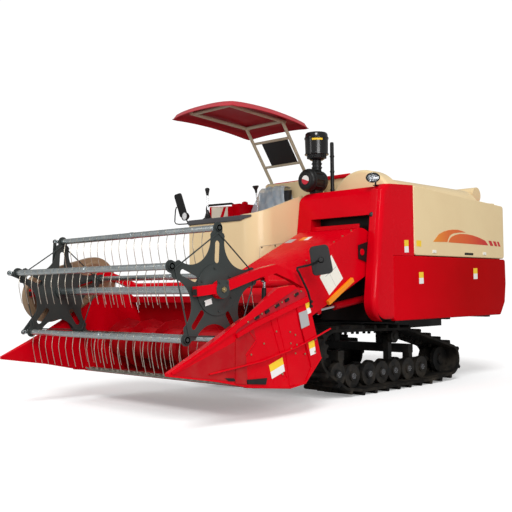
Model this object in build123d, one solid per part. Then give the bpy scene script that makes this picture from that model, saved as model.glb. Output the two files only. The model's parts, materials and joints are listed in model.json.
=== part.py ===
from build123d import *
import os
from math import acos, atan2, cos, degrees, hypot, pi, radians, sin

# A crawler combine harvester for rice and wheat. Millimetres, +X forward, +Y to the
# machine's left, +Z up. The origin is on the ground, midway between the two tracks.

# ---- driving dimensions -----------------------------------------------------------
GAP = 0.3                     # seat between separate pieces that lie on each other
RUN = 8.0                     # running clearance between moving pieces

# rubber tracks
TRACK_CENTRE = 617.0          # half the track gauge
BELT_WIDTH = 455.0
BELT_THICK = 24.0
LUG_HEIGHT = 30.0
LUG_PITCH = 90.0
LUG_OVERLAP = 70.0            # each staggered lug passes the belt's middle by this much
HORN_HEIGHT = 32.0            # guide horns on the belt's inner side
ROLLER_RADIUS = 105.0
ROLLER_RIM = 42.0             # width of one rim of a twin-rim roller
RIM_GAUGE = 140.0             # between the middles of the two rims
IDLER_RADIUS = 128.0
SPROCKET_RADIUS = 176.0
CARRIER_RADIUS = 62.0
ROLLER_Z = LUG_HEIGHT + BELT_THICK + ROLLER_RADIUS
ROLLERS_X = (-517.0, -286.0, -56.0, 146.0, 348.0, 596.0)
FRONT_ROLLER = (802.0, ROLLER_Z + 28.0)
IDLER = (-866.0, 212.0)
SPROCKET = (1000.0, 392.0)
CARRIER = (-70.0, 482.0)

# undercarriage and chassis
BEAM_Z0, BEAM_Z1 = 176.0, 246.0
BEAM_HALF = 38.0
CROSS_X = (-410.0, 690.0)     # the two cross axles under the chassis
CROSS_SIZE = 84.0
TOW_HOLE = (-1580.0, 570.0)   # x and z of the towing eye's middle
TOW_PLATE, TOW_RADIUS = 22.0, 13.0
CROSS_Z = 302.0               # underside of the cross axles, over the rollers
RAIL_Y = 300.0
RAIL_WIDTH = 90.0
RAIL_Z0, RAIL_Z1 = 520.0, 630.0
RAIL_REAR, RAIL_FRONT = -1500.0, 1090.0

# body
BODY_LEFT = 1000.0            # outer face of the left side panels
BODY_RIGHT = -950.0           # outer face of the right side panels
BODY_REAR = -1740.0
BODY_FLOOR = 646.0
SKIN = 45.0                   # how far the side panels stand off the thresher
PANEL = 12.0                  # thickness of a pressed panel with its frame
CORE_LEFT = 840.0             # left wall of the threshing unit, behind the belts
CORE_RIGHT = 190.0
CORE_FRONT = 396.0
ROOF_FRONT, ROOF_REAR = 1856.0, 1776.0
DOOR_FRONT, DOOR_REAR = 10.0, BODY_REAR + 12.0
DOOR_BOTTOM = 1245.0
DOOR_TOP_FRONT, DOOR_TOP_REAR = 1896.0, 1812.0
HINGE_SHARES = (0.12, 0.88)   # where the door's two hinges sit along its top edge
HINGE_WIDTH, HINGE_PIN = 45.0, 7.0
SEAT_GAP = 0.3                # clearance of a piece that rests on another
REST_Y = 560.0                # cradle of the folded unloader

SHIELD_JOINT = 350.0          # where the lower panel meets the front shield
SHIELD_INNER = 882.0          # inner edge of the front shield
SHIELD_ROUND = 56.0
SHIELD_FOOT_ROUND = 180.0      # large round at the foot of the shield
SHROUD_CORNER = 90.0          # round of its upper right corner
SHROUD_TOP_X = 500.0
SHROUD_LEAN = 0.14            # the front face comes forward this much per unit of drop
SHROUD_RIGHT = 30.0
SHROUD_SILL = 1600.0          # lower edge of the shroud, over the feeder
PANEL_RIM = 34.0
PANEL_ROUND = 10.0
ROOF_DEPTH = 30.0
DRUM_REAR, DRUM_LENGTH, DRUM_CROWN = -1360.0, 1388.0, 1990.0
DOME = (28.0, 200.0, 196.0, 850.0, 2075.0)   # front end of the drum cover: x, x, y, y and crown
OUTRIGGERS = (-1440.0, -640.0, 250.0)
ENGINE_LEFT = -30.0
ENGINE_FRONT = 640.0
ENGINE_HOOD_Z = 1420.0
SEAT_Y = -480.0
SIDE_BOX_Y = -845.0
CABINET_FRONT = 254.0

# grain tank, unloader and cabinet
TANK_FRONT, TANK_REAR = -5.0, -1240.0
TANK_LEFT = 430.0
TANK_FLOOR = 980.0
TANK_TOP = 2075.0
TANK_RIM = 42.0

UNLOADER = (-1490.0, -720.0)
UNLOADER_Z = 1935.0
UNLOADER_RADIUS = 84.0
UNLOADER_ARM = 170.0            # reach of the elbow from the upright pipe
UNLOADER_END = 820.0

# operator's station
DECK_Z = 1180.0
DECK_FRONT = 1092.0
DECK_LEFT = 24.0
DECK_RIGHT = -930.0
FAIRING_THICK = 26.0
FAIRING_ROUND = 210.0
FAIRING_BOTTOM = 960.0
DASH_Z = 1588.0
DASH_HEIGHT = 52.0
CONSOLE_LEFT, CONSOLE_RIGHT = DECK_LEFT - 210, DECK_RIGHT - 10

# feeder house and header
PIVOT_X, PIVOT_Z = 650.0, 1262.0      # upper feeder shaft, where the header lifts
FEEDER_LEFT, FEEDER_RIGHT = 868.0, 205.0
FEEDER_SLOPE = 24.7                   # degrees that it falls towards the header
FEEDER_DEPTH = 430.0
FEEDER_SHAFT = 30.0
FEEDER_THROAT = 330.0                 # how far its open end reaches inwards
BEAM_LOW, BEAM_TOP = 836.0, 892.0     # the header's top beam
FEEDER_TOP, FEEDER_LOW = 870.0, 1200.0   # lengths of its upper and lower sheets
BAR_REAR, BAR_FRONT = (802.0, 1020.0), (1140.0, 822.0)
HEADER_MID = 120.0
HEADER_HALF = 1080.0
SIDE_THICK = 36.0                     # pressed side plate with its ribs
SHEET = 6.0
AUGER_X, AUGER_Z = 1925.0, 482.0
AUGER_FLIGHT = 214.0
AUGER_PITCH = 330.0
AUGER_SHAFT = 25.0
AUGER_TUBE = 138.0
KNIFE_X, KNIFE_Z = 2352.0, 268.0
GUARD_LENGTH = 66.0
GUARD_PITCH = 76.2

# hydraulic cylinders
LIFT_FOOT, LIFT_EYE = (430.0, 850.0), (1126.0, 756.0)
LIFT_Y = 740.0
LIFT_RADIUS = 32.0
REEL_LIFT_FOOT, REEL_LIFT_EYE = (2190.0, 700.0), (2170.0, 1008.0)
REEL_LIFT_RADIUS = 17.0
PIN = 14.0
BARREL_SHARE, ROD_START = 0.66, 0.26             # shares of the closed length
REEL_BARREL_SHARE, REEL_ROD_START = 0.82, 0.24
ROD_SHARE = 0.55              # rod radius as a share of the barrel's
EYE_DRIFT = 5.0               # play in the rod's eye

# reel
REEL_X, REEL_Z = 2604.5, 943.7
REEL_RADIUS = 428.0
REEL_LEFT, REEL_RIGHT = 1091.0, -870.0
REEL_ARMS = 5
REEL_START = 21.4                     # angle of the first arm above the forward level
BAR_TUBE = 23.5
TINE_WIRE = 3.0
TINE_DROP = 252.0
TINE_PITCH = 98.0
REEL_SHAFT = 30.0
SPIDER_ARM = 122.0
SPIDER_SLOT = (156.0, 44.0)
SPIDER_EYE = 42.0
SPIDER_SHEET = 7.0
PIN_RUN = 0.6                         # running clearance round a pin or a shaft
CRANK_Y = REEL_RIGHT - 13.0           # middle of the cranks on the tine bars
CONTROL_Y = REEL_RIGHT - 24.0         # middle of the control ring's plate
RING_INNER, RING_OUTER = 112.0, 140.0
CRANK_PIN = 8.0
ECCENTRIC = 62.0                      # offset of the control ring from the reel's axis
ARM_Y = 1138.0                        # middle of the left reel arm
ARM_RIGHT_Y = -962.0
ARM_WIDTH = 48.0
ARM_PIVOT = (1790.0, 984.0)
GUARD_FRONT, GUARD_REAR, GUARD_RADIUS = (2640.0, 905.0), (2170.0, 1030.0), 222.0
HEADER_MIRROR = (1500.0, 1090.0, 1165.0)

# canopy
CANOPY_X, CANOPY_Y, CANOPY_Z = 585.0, -615.0, 2588.0   # rear right corner of its frame
CANOPY_LENGTH, CANOPY_WIDTH = 711.0, 500.0
CANOPY_RISE = 46.0                    # the front is this much higher than the rear
CANOPY_SHELL = (1095.0, 877.0, 100.0)  # length, width and depth
POST_BASE = (212.0, 2057.0)           # where the posts stand on the cabinet, x and z
POST_BARS = (0.29, 0.72)              # shares of the posts where their cross bars sit
POST_PLATE = (-505.0, -150.0, 4.0)    # plate between the bars: right and left edge, thickness
TUBE = 17.0                           # radius of the canopy's tube
LAMP = (520.0, 912.0, 1928.0)
FILTER = (445.0, 150.0, 1985.0)
FILTER_RADIUS = 112.0
EXHAUST = (243.0, 226.0, 2375.0)      # x, y and top
PRECLEANER_Z = 2210.0


# ---- small makers -----------------------------------------------------------------
def block(x0, x1, y0, y1, z0, z1):
    """Box between two corners."""
    solid = Box(abs(x1 - x0), abs(y1 - y0), abs(z1 - z0))
    return Pos((x0 + x1) / 2, (y0 + y1) / 2, (z0 + z1) / 2) * solid


def side_face(outline, y):
    """Flat face from an (x, z) outline, in the plane at y."""
    return make_face(Polyline(*[(x, y, z) for x, z in outline], close=True))


def side_prism(outline, y0, y1):
    """Prism of an (x, z) outline between two y values."""
    low, high = min(y0, y1), max(y0, y1)
    return extrude(side_face(outline, low), amount=high - low, dir=(0, 1, 0))


def front_prism(outline, x0, x1):
    """Prism of a (y, z) outline between two x values."""
    low, high = min(x0, x1), max(x0, x1)
    face = make_face(Polyline(*[(low, y, z) for y, z in outline], close=True))
    return extrude(face, amount=high - low, dir=(1, 0, 0))


def plan_prism(outline, z0, z1):
    """Prism of an (x, y) outline between two heights."""
    face = make_face(Polyline(*[(x, y, z0) for x, y in outline], close=True))
    return extrude(face, amount=z1 - z0, dir=(0, 0, 1))


def rod(start, end, radius):
    """Round bar between two points."""
    a, b = Vector(*start), Vector(*end)
    return Solid.make_cylinder(radius, (b - a).length, Plane(a, z_dir=b - a))


def disc(x, z, y0, y1, radius):
    """Disc or drum whose axis is along Y."""
    low, high = min(y0, y1), max(y0, y1)
    return rod((x, low, z), (x, high, z), radius)


def post(x, y, z0, z1, radius):
    """Upright round bar."""
    return rod((x, y, z0), (x, y, z1), radius)


def bent_tube(points, radius, bend):
    """Tube through points, with one bend radius at each corner."""
    path = FilletPolyline(*points, radius=bend)
    start = Plane(origin=path @ 0, z_dir=path % 0)
    return sweep(start * Circle(radius), path=path)


def strut(start, end, width, depth):
    """Rectangular bar between two points in one x-z plane; depth is across it."""
    a, b = Vector(*start), Vector(*end)
    plane = Plane(a, x_dir=(0, 1, 0), z_dir=b - a)
    return extrude(plane * Rectangle(width, depth), amount=(b - a).length)


def polar(x, z, radius, angle):
    """Point at an angle above forward level, as (x, z)."""
    return (x + radius * cos(radians(angle)), z + radius * sin(radians(angle)))


def fuse(pieces):
    """One shape from many that touch."""
    first, *rest = pieces
    return first.fuse(*rest) if rest else first


def mirror_y(shape):
    """The same piece on the other side of the machine."""
    return mirror(shape, about=Plane.XZ)


# ---- tracks -----------------------------------------------------------------------
def belt_outline(offset):
    """Closed path of lines and arcs round the wheels, at an offset, in the plane y = 0."""
    # columns: x, z, radius, in the order that the belt meets them, from the rear along the ground
    wheels = [(ROLLERS_X[0], ROLLER_Z, ROLLER_RADIUS), (ROLLERS_X[-1], ROLLER_Z, ROLLER_RADIUS),
              (*FRONT_ROLLER, ROLLER_RADIUS), (*SPROCKET, SPROCKET_RADIUS),
              (*CARRIER, CARRIER_RADIUS), (*IDLER, IDLER_RADIUS)]
    leave = []                # angle of the outward normal on the run after each wheel
    for (x0, z0, r0), (x1, z1, r1) in zip(wheels, wheels[1:] + wheels[:1]):
        span = hypot(x1 - x0, z1 - z0)
        leave.append(degrees(atan2(z1 - z0, x1 - x0) - acos((r0 - r1) / span)))
    edges = []
    for i, (x, z, radius) in enumerate(wheels):
        arrive, depart = leave[i - 1], leave[i]
        while depart < arrive:
            depart += 360
        arc = [polar(x, z, radius + offset, a) for a in (arrive, (arrive + depart) / 2, depart)]
        edges.append(ThreePointArc(*[(px, 0, pz) for px, pz in arc]))
        nx, nz, next_radius = wheels[(i + 1) % len(wheels)]
        end = polar(nx, nz, next_radius + offset, leave[i])
        edges.append(Line(edges[-1] @ 1, (end[0], 0, end[1])))
    return Wire(edges)


def lug_prism(foot, out, along, height, root, tip, y0, y1):
    """Tapered bar on the belt: foot point, outward and forward directions as (x, z)."""
    corners = [(-root / 2, -1.5), (root / 2, -1.5), (tip / 2, height), (-tip / 2, height)]
    outline = [(foot[0] + a * along[0] + h * out[0], foot[1] + a * along[1] + h * out[1])
               for a, h in corners]
    return side_prism(outline, y0, y1)


def track_loop():
    """Left rubber track: belt, staggered lugs outside and guide horns inside."""
    inner, outer = belt_outline(GAP), belt_outline(GAP + BELT_THICK)
    low, high = TRACK_CENTRE - BELT_WIDTH / 2, TRACK_CENTRE + BELT_WIDTH / 2
    ring = Face(outer, [inner])
    belt = Pos(0, low, 0) * extrude(ring, amount=BELT_WIDTH, dir=(0, 1, 0))
    count = 2 * round(outer.length / LUG_PITCH / 2)
    pieces = []
    for i in range(count):
        u = (i + 0.5) / count
        foot, ahead = outer @ u, outer % u
        out, along = (ahead.Z, -ahead.X), (ahead.X, ahead.Z)
        y0 = low if i % 2 else TRACK_CENTRE - LUG_OVERLAP
        y1 = TRACK_CENTRE + LUG_OVERLAP if i % 2 else high
        pieces.append(lug_prism((foot.X, foot.Z), out, along, LUG_HEIGHT - GAP, 44, 26, y0, y1))
        if i % 2:
            continue
        foot, ahead = inner @ u, inner % u
        into, along = (-ahead.Z, ahead.X), (ahead.X, ahead.Z)
        for y in (TRACK_CENTRE - 38, TRACK_CENTRE + 20):
            pieces.append(lug_prism((foot.X, foot.Z), into, along, HORN_HEIGHT, 36, 20, y, y + 18))
    return fuse([belt] + pieces)


def twin_wheel(x, z, radius):
    """Twin-rim wheel with its hub, outer cap and the axle through the beam."""
    pieces = []
    for side in (-1, 1):
        mid = TRACK_CENTRE + side * RIM_GAUGE / 2
        pieces.append(disc(x, z, mid - ROLLER_RIM / 2, mid + ROLLER_RIM / 2, radius))
    reach = RIM_GAUGE / 2 + ROLLER_RIM / 2
    pieces.append(disc(x, z, TRACK_CENTRE - reach - 10, TRACK_CENTRE + reach + 12, radius * 0.42))
    return pieces


def track_gear():
    """Left track frame: beam, twin-rim rollers, rear idler and top carrier."""
    pieces = [block(ROLLERS_X[0] - 190, FRONT_ROLLER[0] + 60, TRACK_CENTRE - BEAM_HALF,
                    TRACK_CENTRE + BEAM_HALF, BEAM_Z0, BEAM_Z1)]
    pieces.append(rod((IDLER[0], TRACK_CENTRE, IDLER[1]),
                      (ROLLERS_X[0] - 180, TRACK_CENTRE, IDLER[1]), 27))
    pieces.append(block(CARRIER[0] - 28, CARRIER[0] + 28, TRACK_CENTRE - 30, TRACK_CENTRE + 30,
                        BEAM_Z1 - 2, CARRIER[1]))
    # columns: x, z, radius
    wheels = [(x, ROLLER_Z, ROLLER_RADIUS) for x in ROLLERS_X]
    wheels += [(*FRONT_ROLLER, ROLLER_RADIUS), (*IDLER, IDLER_RADIUS), (*CARRIER, CARRIER_RADIUS)]
    for x, z, radius in wheels:
        pieces += twin_wheel(x, z, radius)
    return fuse(pieces)


def sprocket():
    """Left drive sprocket on its shaft."""
    teeth, tip, root = 11, SPROCKET_RADIUS - 3, SPROCKET_RADIUS - 34
    outline = []
    for i in range(teeth):
        for radius, share in ((root, -0.30), (tip, -0.12), (tip, 0.12), (root, 0.30)):
            outline.append(polar(*SPROCKET, radius, 360 / teeth * (i + share)))
    plate = side_prism(outline, TRACK_CENTRE - 14, TRACK_CENTRE + 14)
    hub = disc(*SPROCKET, TRACK_CENTRE - 60, TRACK_CENTRE + 40, 74)
    return fuse([plate, hub])


# ---- chassis ----------------------------------------------------------------------
def chassis_frame():
    """Two rails on two cross axles, with their uprights and cross members."""
    pieces = []
    for side in (-1, 1):
        y0, y1 = side * RAIL_Y - RAIL_WIDTH / 2, side * RAIL_Y + RAIL_WIDTH / 2
        pieces.append(block(RAIL_REAR, RAIL_FRONT, y0, y1, RAIL_Z0, RAIL_Z1))
        for x in CROSS_X:
            pieces.append(block(x - 38, x + 38, y0 + 8, y1 - 8, CROSS_Z + 20, RAIL_Z0 + 2))
            foot = side * TRACK_CENTRE
            pieces.append(block(x - 30, x + 30, foot - BEAM_HALF, foot + BEAM_HALF, BEAM_Z1, CROSS_Z + 2))
    for x in CROSS_X:
        pieces.append(block(x - CROSS_SIZE / 2, x + CROSS_SIZE / 2, -TRACK_CENTRE - BEAM_HALF,
                            TRACK_CENTRE + BEAM_HALF, CROSS_Z, CROSS_Z + CROSS_SIZE))
    for x in (RAIL_REAR + 60, CROSS_X[0], 250.0):
        pieces.append(block(x - 40, x + 40, -RAIL_Y, RAIL_Y, RAIL_Z0 + 10, RAIL_Z1 - 10))
    # outriggers that carry the body's sides
    for x in OUTRIGGERS:
        pieces.append(block(x - 30, x + 30, BODY_RIGHT + 30, BODY_LEFT - SKIN - GAP,
                            RAIL_Z1 - 2, BODY_FLOOR))
    for x in (TANK_REAR + 90, TANK_FRONT - 150):
        pieces.append(block(x - 30, x + 30, -RAIL_Y - 130, -RAIL_Y - 40, RAIL_Z1 - 40, TANK_FLOOR))
    x, z = TOW_HOLE
    pieces.append(block(x - 38, RAIL_REAR + 50, -46, 46, z - TOW_PLATE / 2, z + TOW_PLATE / 2))
    return fuse(pieces) - post(x, 0, z - TOW_PLATE, z + TOW_PLATE, TOW_RADIUS)


def transmission():
    """Gear case between the rails, with the axle tubes to both sprockets."""
    x, z = SPROCKET
    half = RAIL_Y - RAIL_WIDTH / 2 - GAP
    case = side_prism([(x - 150, z - 40), (x - 60, z - 100), (x + 70, z - 100), (x + 110, z - 20),
                       (x + 86, RAIL_Z1 - 30), (x - 150, RAIL_Z1 - 30)], -half, half)
    tube = disc(x, z, -TRACK_CENTRE + 59, TRACK_CENTRE - 59, 64)
    return fuse([case, tube, sprocket(), mirror_y(sprocket())])


def engine_block():
    """The engine as one plain block on the rails, under the seat."""
    return block(60, 600, DECK_RIGHT + 150, ENGINE_LEFT, BODY_FLOOR + GAP, DECK_Z - 60)


# ---- threshing body ---------------------------------------------------------------
def roof_z(x):
    """Height of the roof line at x."""
    share = (SHROUD_TOP_X - x) / (SHROUD_TOP_X - BODY_REAR)
    return ROOF_FRONT + (ROOF_REAR - ROOF_FRONT) * share


def front_line(z):
    """x of the leaning front face of the shroud and the shield."""
    return SHROUD_TOP_X + SHROUD_LEAN * (ROOF_FRONT - z)


def thresher_body():
    """Threshing and cleaning unit, the closed core of the left half."""
    rear = BODY_REAR + 60
    outline = [(CORE_FRONT, BODY_FLOOR + GAP), (CORE_FRONT, roof_z(CORE_FRONT) - ROOF_DEPTH),
               (rear, roof_z(rear) - ROOF_DEPTH), (rear, 1080), (rear + 120, BODY_FLOOR + 90),
               (rear + 260, BODY_FLOOR + GAP)]
    pieces = [side_prism(outline, CORE_RIGHT, CORE_LEFT)]
    # plates that carry the feeder's upper shaft
    for y0, y1 in ((CORE_RIGHT, CORE_RIGHT + 8), (FEEDER_LEFT + 3, FEEDER_LEFT + 11)):
        plate = side_prism([(CORE_FRONT - 60, PIVOT_Z - 150), (CORE_FRONT - 60, PIVOT_Z + 150),
                            (PIVOT_X + 50, PIVOT_Z + 60), (PIVOT_X + 50, PIVOT_Z - 60)], y0, y1)
        pieces.append(plate)
    pieces.append(block(CORE_FRONT - 60, CORE_FRONT, CORE_LEFT - 5, FEEDER_LEFT + 11, PIVOT_Z - 150, PIVOT_Z + 150))
    pieces += pin_lugs(LIFT_FOOT, (CORE_FRONT - 10, LIFT_FOOT[1]), LIFT_Y, LIFT_RADIUS + 2, PIN)
    return fuse(pieces) - disc(PIVOT_X, PIVOT_Z, CORE_RIGHT - 1, SHIELD_INNER, FEEDER_SHAFT + PIN_RUN)


def drive_pulleys():
    """Belt drives on the left wall, behind the door and the side panels."""
    # columns: x, z, radius
    pulleys = [(160, 1420, 150), (-330, 1500, 190), (-330, 960, 95), (-900, 1390, 120),
               (-1350, 1000, 150), (-1350, 1560, 90), (160, 900, 110)]
    # the two pulleys of each belt, as rows of the table above
    belts = [(0, 1), (1, 2), (3, 4), (0, 6), (3, 5)]
    pieces = []
    for x, z, radius in pulleys:
        pieces.append(disc(x, z, CORE_LEFT + GAP, CORE_LEFT + 26, 24))
        pieces.append(disc(x, z, CORE_LEFT + 24, CORE_LEFT + 52, radius))
    for a, b in belts:
        (xa, za, ra), (xb, zb, rb) = pulleys[a], pulleys[b]
        heading = degrees(atan2(zb - za, xb - xa))
        lean = degrees(acos((ra - rb) / hypot(xb - xa, zb - za)))
        for angle in (heading - lean, heading + lean):
            (x0, z0), (x1, z1) = polar(xa, za, ra - 6, angle), polar(xb, zb, rb - 6, angle)
            pieces.append(strut((x0, CORE_LEFT + 38, z0), (x1, CORE_LEFT + 38, z1), 20, 11))
    return fuse(pieces)


def left_tray(outline, radius):
    """Pressed tray on the left side: rounded outline, open back."""
    sheet = side_prism(outline, BODY_LEFT - SKIN, BODY_LEFT)
    corners = [e for e in sheet.edges() if abs((e % 0.5).Y) > 0.99]
    sheet = fillet(corners, radius)
    rim = [e for e in sheet.edges() if e.bounding_box().min.Y > BODY_LEFT - 0.01]
    sheet = fillet(rim, PANEL_ROUND)
    middle = (sum(x for x, _ in outline) / len(outline), sum(z for _, z in outline) / len(outline))
    inset = []
    for x, z in outline:
        inset.append((x - PANEL_RIM * (1 if x > middle[0] else -1),
                      z - PANEL_RIM * (1 if z > middle[1] else -1)))
    return sheet - side_prism(inset, BODY_LEFT - SKIN - 1, BODY_LEFT - PANEL)


def left_door():
    """Beige side door, hinged along its upper edge, with its handle recess."""
    outline = [(DOOR_FRONT, DOOR_BOTTOM), (DOOR_FRONT, DOOR_TOP_FRONT),
               (DOOR_REAR, DOOR_TOP_REAR), (DOOR_REAR, DOOR_BOTTOM)]
    handle = block(-1073, -896, BODY_LEFT - 7, BODY_LEFT + 1, DOOR_BOTTOM + 21, DOOR_BOTTOM + 46)
    door = left_tray(outline, 34) - handle
    y = BODY_LEFT - SKIN
    for share in HINGE_SHARES:
        (x0, z0), (x1, z1) = door_line(share, -HINGE_WIDTH - 8), door_line(share, HINGE_WIDTH + 8)
        door -= block(x0 - 6, x1 + 6, y - 1, y + SKIN * 0.6, z0 - 30, z1 + 30)
        (x0, z0), (x1, z1) = door_line(share, -HINGE_WIDTH + 14), door_line(share, HINGE_WIDTH - 14)
        leaf = block(x0, x1, y, BODY_LEFT - PANEL + 2, z0 - HINGE_PIN - 3, z1 + HINGE_PIN)
        knuckle = rod((x0, y, z0), (x1, y, z1), HINGE_PIN + 6)
        door = fuse([door, leaf, knuckle]) - rod((x0 - 9, y, door_line(0, x0 - 9 - DOOR_FRONT)[1]),
                                                 (x1 + 9, y, door_line(0, x1 + 9 - DOOR_FRONT)[1]),
                                                 HINGE_PIN + PIN_RUN)
    return door


def left_lower_panel():
    """Red lower side panel below the door, rounded at its rear corners."""
    top = DOOR_BOTTOM - RUN
    outline = [(SHIELD_JOINT, BODY_FLOOR), (SHIELD_JOINT, top), (BODY_REAR - 8, top),
               (BODY_REAR - 14, 980), (BODY_REAR + 16, 780), (BODY_REAR + 116, BODY_FLOOR)]
    return left_tray(outline, 30)


def left_front_shield():
    """Red upright shield at the left front corner, wrapped round to the front."""
    joint, top = SHIELD_JOINT + GAP, DOOR_BOTTOM - RUN
    outline = [(joint, BODY_FLOOR), (joint, top), (DOOR_FRONT + RUN, top),
               (DOOR_FRONT + RUN, DOOR_TOP_FRONT), (SHROUD_TOP_X - 60, ROOF_FRONT + 20),
               (front_line(1826), 1826), (front_line(BODY_FLOOR), BODY_FLOOR)]
    solid = side_prism(outline, SHIELD_INNER, BODY_LEFT)
    foot = [e for e in solid.edges() if abs((e % 0.5).Y) > 0.99 and e.center().Z < BODY_FLOOR + 5
            and e.center().X > SHROUD_TOP_X]
    solid = fillet(foot, SHIELD_FOOT_ROUND)
    corner = [e for e in solid.edges() if e.bounding_box().min.Y > BODY_LEFT - 0.01
              and e.center().X > SHROUD_TOP_X - 40]
    solid = fillet(corner, SHIELD_ROUND)
    wall = 40
    inside = side_prism([(joint - 1, BODY_FLOOR - 1), (joint - 1, top - 1), (DOOR_FRONT, top - 1),
                         (DOOR_FRONT, DOOR_TOP_FRONT - 16), (SHROUD_TOP_X - 80, ROOF_FRONT + 4),
                         (front_line(1790) - wall, 1790), (front_line(BODY_FLOOR) - wall, BODY_FLOOR - 1)],
                        SHIELD_INNER - 1, BODY_LEFT - PANEL)
    foot = [e for e in inside.edges() if abs((e % 0.5).Y) > 0.99 and e.center().Z < BODY_FLOOR + 5
            and e.center().X > SHROUD_TOP_X]
    return solid - fillet(foot, SHIELD_FOOT_ROUND - wall + 20)


def front_shroud():
    """Red hood over the feeder's upper shaft: front beam, inlet slot, roof and right leg."""
    left, right = SHIELD_INNER - GAP, SHROUD_RIGHT
    deep = CORE_FRONT - 110
    under = roof_z(CORE_FRONT) - ROOF_DEPTH + GAP
    outline = [(front_line(SHROUD_SILL), SHROUD_SILL), (front_line(1796), 1796),
               (front_line(1830) - 26, ROOF_FRONT), (deep, roof_z(deep)), (deep, under + 2),
               (front_line(1790) - 60, under + 2), (front_line(SHROUD_SILL) - 40, SHROUD_SILL)]
    beam = side_prism(outline, right, left)
    leg = side_prism([(front_line(1400), 1400), (front_line(1640), 1640), (CORE_FRONT + GAP, 1640),
                      (CORE_FRONT + GAP, 1400)], right, FEEDER_RIGHT - RUN)
    x, y, z = SHROUD_TOP_X + 100, right + SHROUD_CORNER, ROOF_FRONT - SHROUD_CORNER
    corner = block(deep - 1, x, right - 1, y, z, ROOF_FRONT + 1)
    return fuse([beam, leg]) - (corner - rod((deep - 2, y, z), (x + 1, y, z), SHROUD_CORNER))


def roof_panel():
    """Sheet roof over the threshing unit with the arched cover of the threshing drum."""
    front, rear = CORE_FRONT - 110 - GAP, BODY_REAR + 40
    outline = [(front, roof_z(front)), (rear, roof_z(rear)),
               (rear, roof_z(rear) - ROOF_DEPTH + GAP), (front, roof_z(front) - ROOF_DEPTH + GAP)]
    sheet = side_prism(outline, CORE_RIGHT, BODY_LEFT - SKIN - RUN)
    sheet = sheet - block(DOOR_FRONT, front + 1, SHIELD_INNER - GAP, BODY_LEFT, ROOF_REAR, ROOF_FRONT + 10)
    x = UNLOADER[0]
    rest = block(x - 60, x + 60, REST_Y - 20, REST_Y + 20, roof_z(x) - 10,
                 UNLOADER_Z - UNLOADER_RADIUS - SEAT_GAP)
    pieces = [sheet, rest]
    for share in HINGE_SHARES:
        (x0, z0), (x1, z1) = door_line(share, -HINGE_WIDTH), door_line(share, HINGE_WIDTH)
        y = BODY_LEFT - SKIN
        pieces.append(rod((x0, y, z0), (x1, y, z1), HINGE_PIN))
        for x, z in ((x0, z0), (x1, z1)):
            pieces.append(block(x - 6, x + 6, y - 26, y - 8, z - 62, z + HINGE_PIN))
            pieces.append(block(x - 6, x + 6, y - 10, y + HINGE_PIN, z - 12, z + HINGE_PIN))
    return fuse(pieces)


def door_line(share, offset):
    """Point (x, z) on the door's hinge line, at a share of its length plus an offset."""
    x = DOOR_FRONT + (DOOR_REAR - DOOR_FRONT) * share + offset
    return x, DOOR_TOP_FRONT + (x - DOOR_FRONT) * (DOOR_TOP_FRONT - DOOR_TOP_REAR) / (DOOR_FRONT - DOOR_REAR)


def arched_cover(x0, x1, y0, y1, side, crown):
    """Cover with an arched top over the roof, from x0 to x1 and y0 to y1."""
    foot = roof_z(x0) + GAP
    arch = ThreePointArc((x0, y0, foot + side), (x0, (y0 + y1) / 2, crown), (x0, y1, foot + side))
    sides = Polyline(arch @ 1, (x0, y1, foot), (x0, y0, foot), arch @ 0)
    cover = extrude(make_face([arch, *sides.edges()]), amount=x1 - x0, dir=(1, 0, 0))
    ends = (x0 - 1, x1 + 1)
    under = [(ends[0], foot - 50), (ends[0], roof_z(ends[0]) + GAP), (ends[1], roof_z(ends[1]) + GAP),
             (ends[1], foot - 50)]
    return cover - side_prism(under, y0 - 1, y1 + 1)


def drum_cover():
    """Arched cover over the threshing drum with its higher domed front end, on the roof."""
    rear = arched_cover(DRUM_REAR, DRUM_REAR + DRUM_LENGTH, TANK_LEFT + RUN, BODY_LEFT - SKIN - 60, 60, DRUM_CROWN)
    x0, x1, y0, y1, crown = DOME
    dome = arched_cover(x0, x1, y0, y1, 50, crown)
    rim = [e for e in dome.edges() if e.bounding_box().min.X > x1 - 0.01 and e.center().Z > roof_z(x1) + 10]
    return fuse([rear, fillet(rim, 34)])


def rear_hood():
    """Rear wall of the threshing unit, over the straw outlet."""
    face = BODY_REAR + 60 - GAP
    top = roof_z(face) - ROOF_DEPTH
    outline = [(face, 1090), (face, top), (face - 34, top - 20), (face - 52, 1400), (face - 52, 1060),
               (face - 40, 1000), (face - 36, 1090)]
    return side_prism(outline, CORE_RIGHT, BODY_LEFT - SKIN - RUN)


def grain_tank():
    """Grain tank in the right rear, over the roof line wider and bevelled at the top."""
    shelf = roof_z(TANK_REAR) + 70
    outline = [(BODY_RIGHT, TANK_FLOOR + 160), (BODY_RIGHT, TANK_TOP - 60), (BODY_RIGHT + 60, TANK_TOP),
               (TANK_LEFT - 150, TANK_TOP), (TANK_LEFT, TANK_TOP - 130), (TANK_LEFT, shelf),
               (CORE_RIGHT - GAP, shelf), (CORE_RIGHT - GAP, TANK_FLOOR), (BODY_RIGHT + 330, TANK_FLOOR)]
    return front_prism(outline, TANK_REAR, TANK_FRONT)


def tank_rim():
    """Red rim along the tank's front upper edge."""
    y0, y1 = BODY_RIGHT + 70, TANK_LEFT - 160
    return block(TANK_FRONT + GAP, TANK_FRONT + 26, y0, y1, TANK_TOP - 24, TANK_TOP + 16)


def right_panels():
    """Right side panels under and in front of the tank."""
    lower = block(TANK_REAR - 380, TANK_FRONT - 4, BODY_RIGHT, BODY_RIGHT + 30, RAIL_Z1, TANK_FLOOR + 140)
    return lower


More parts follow.
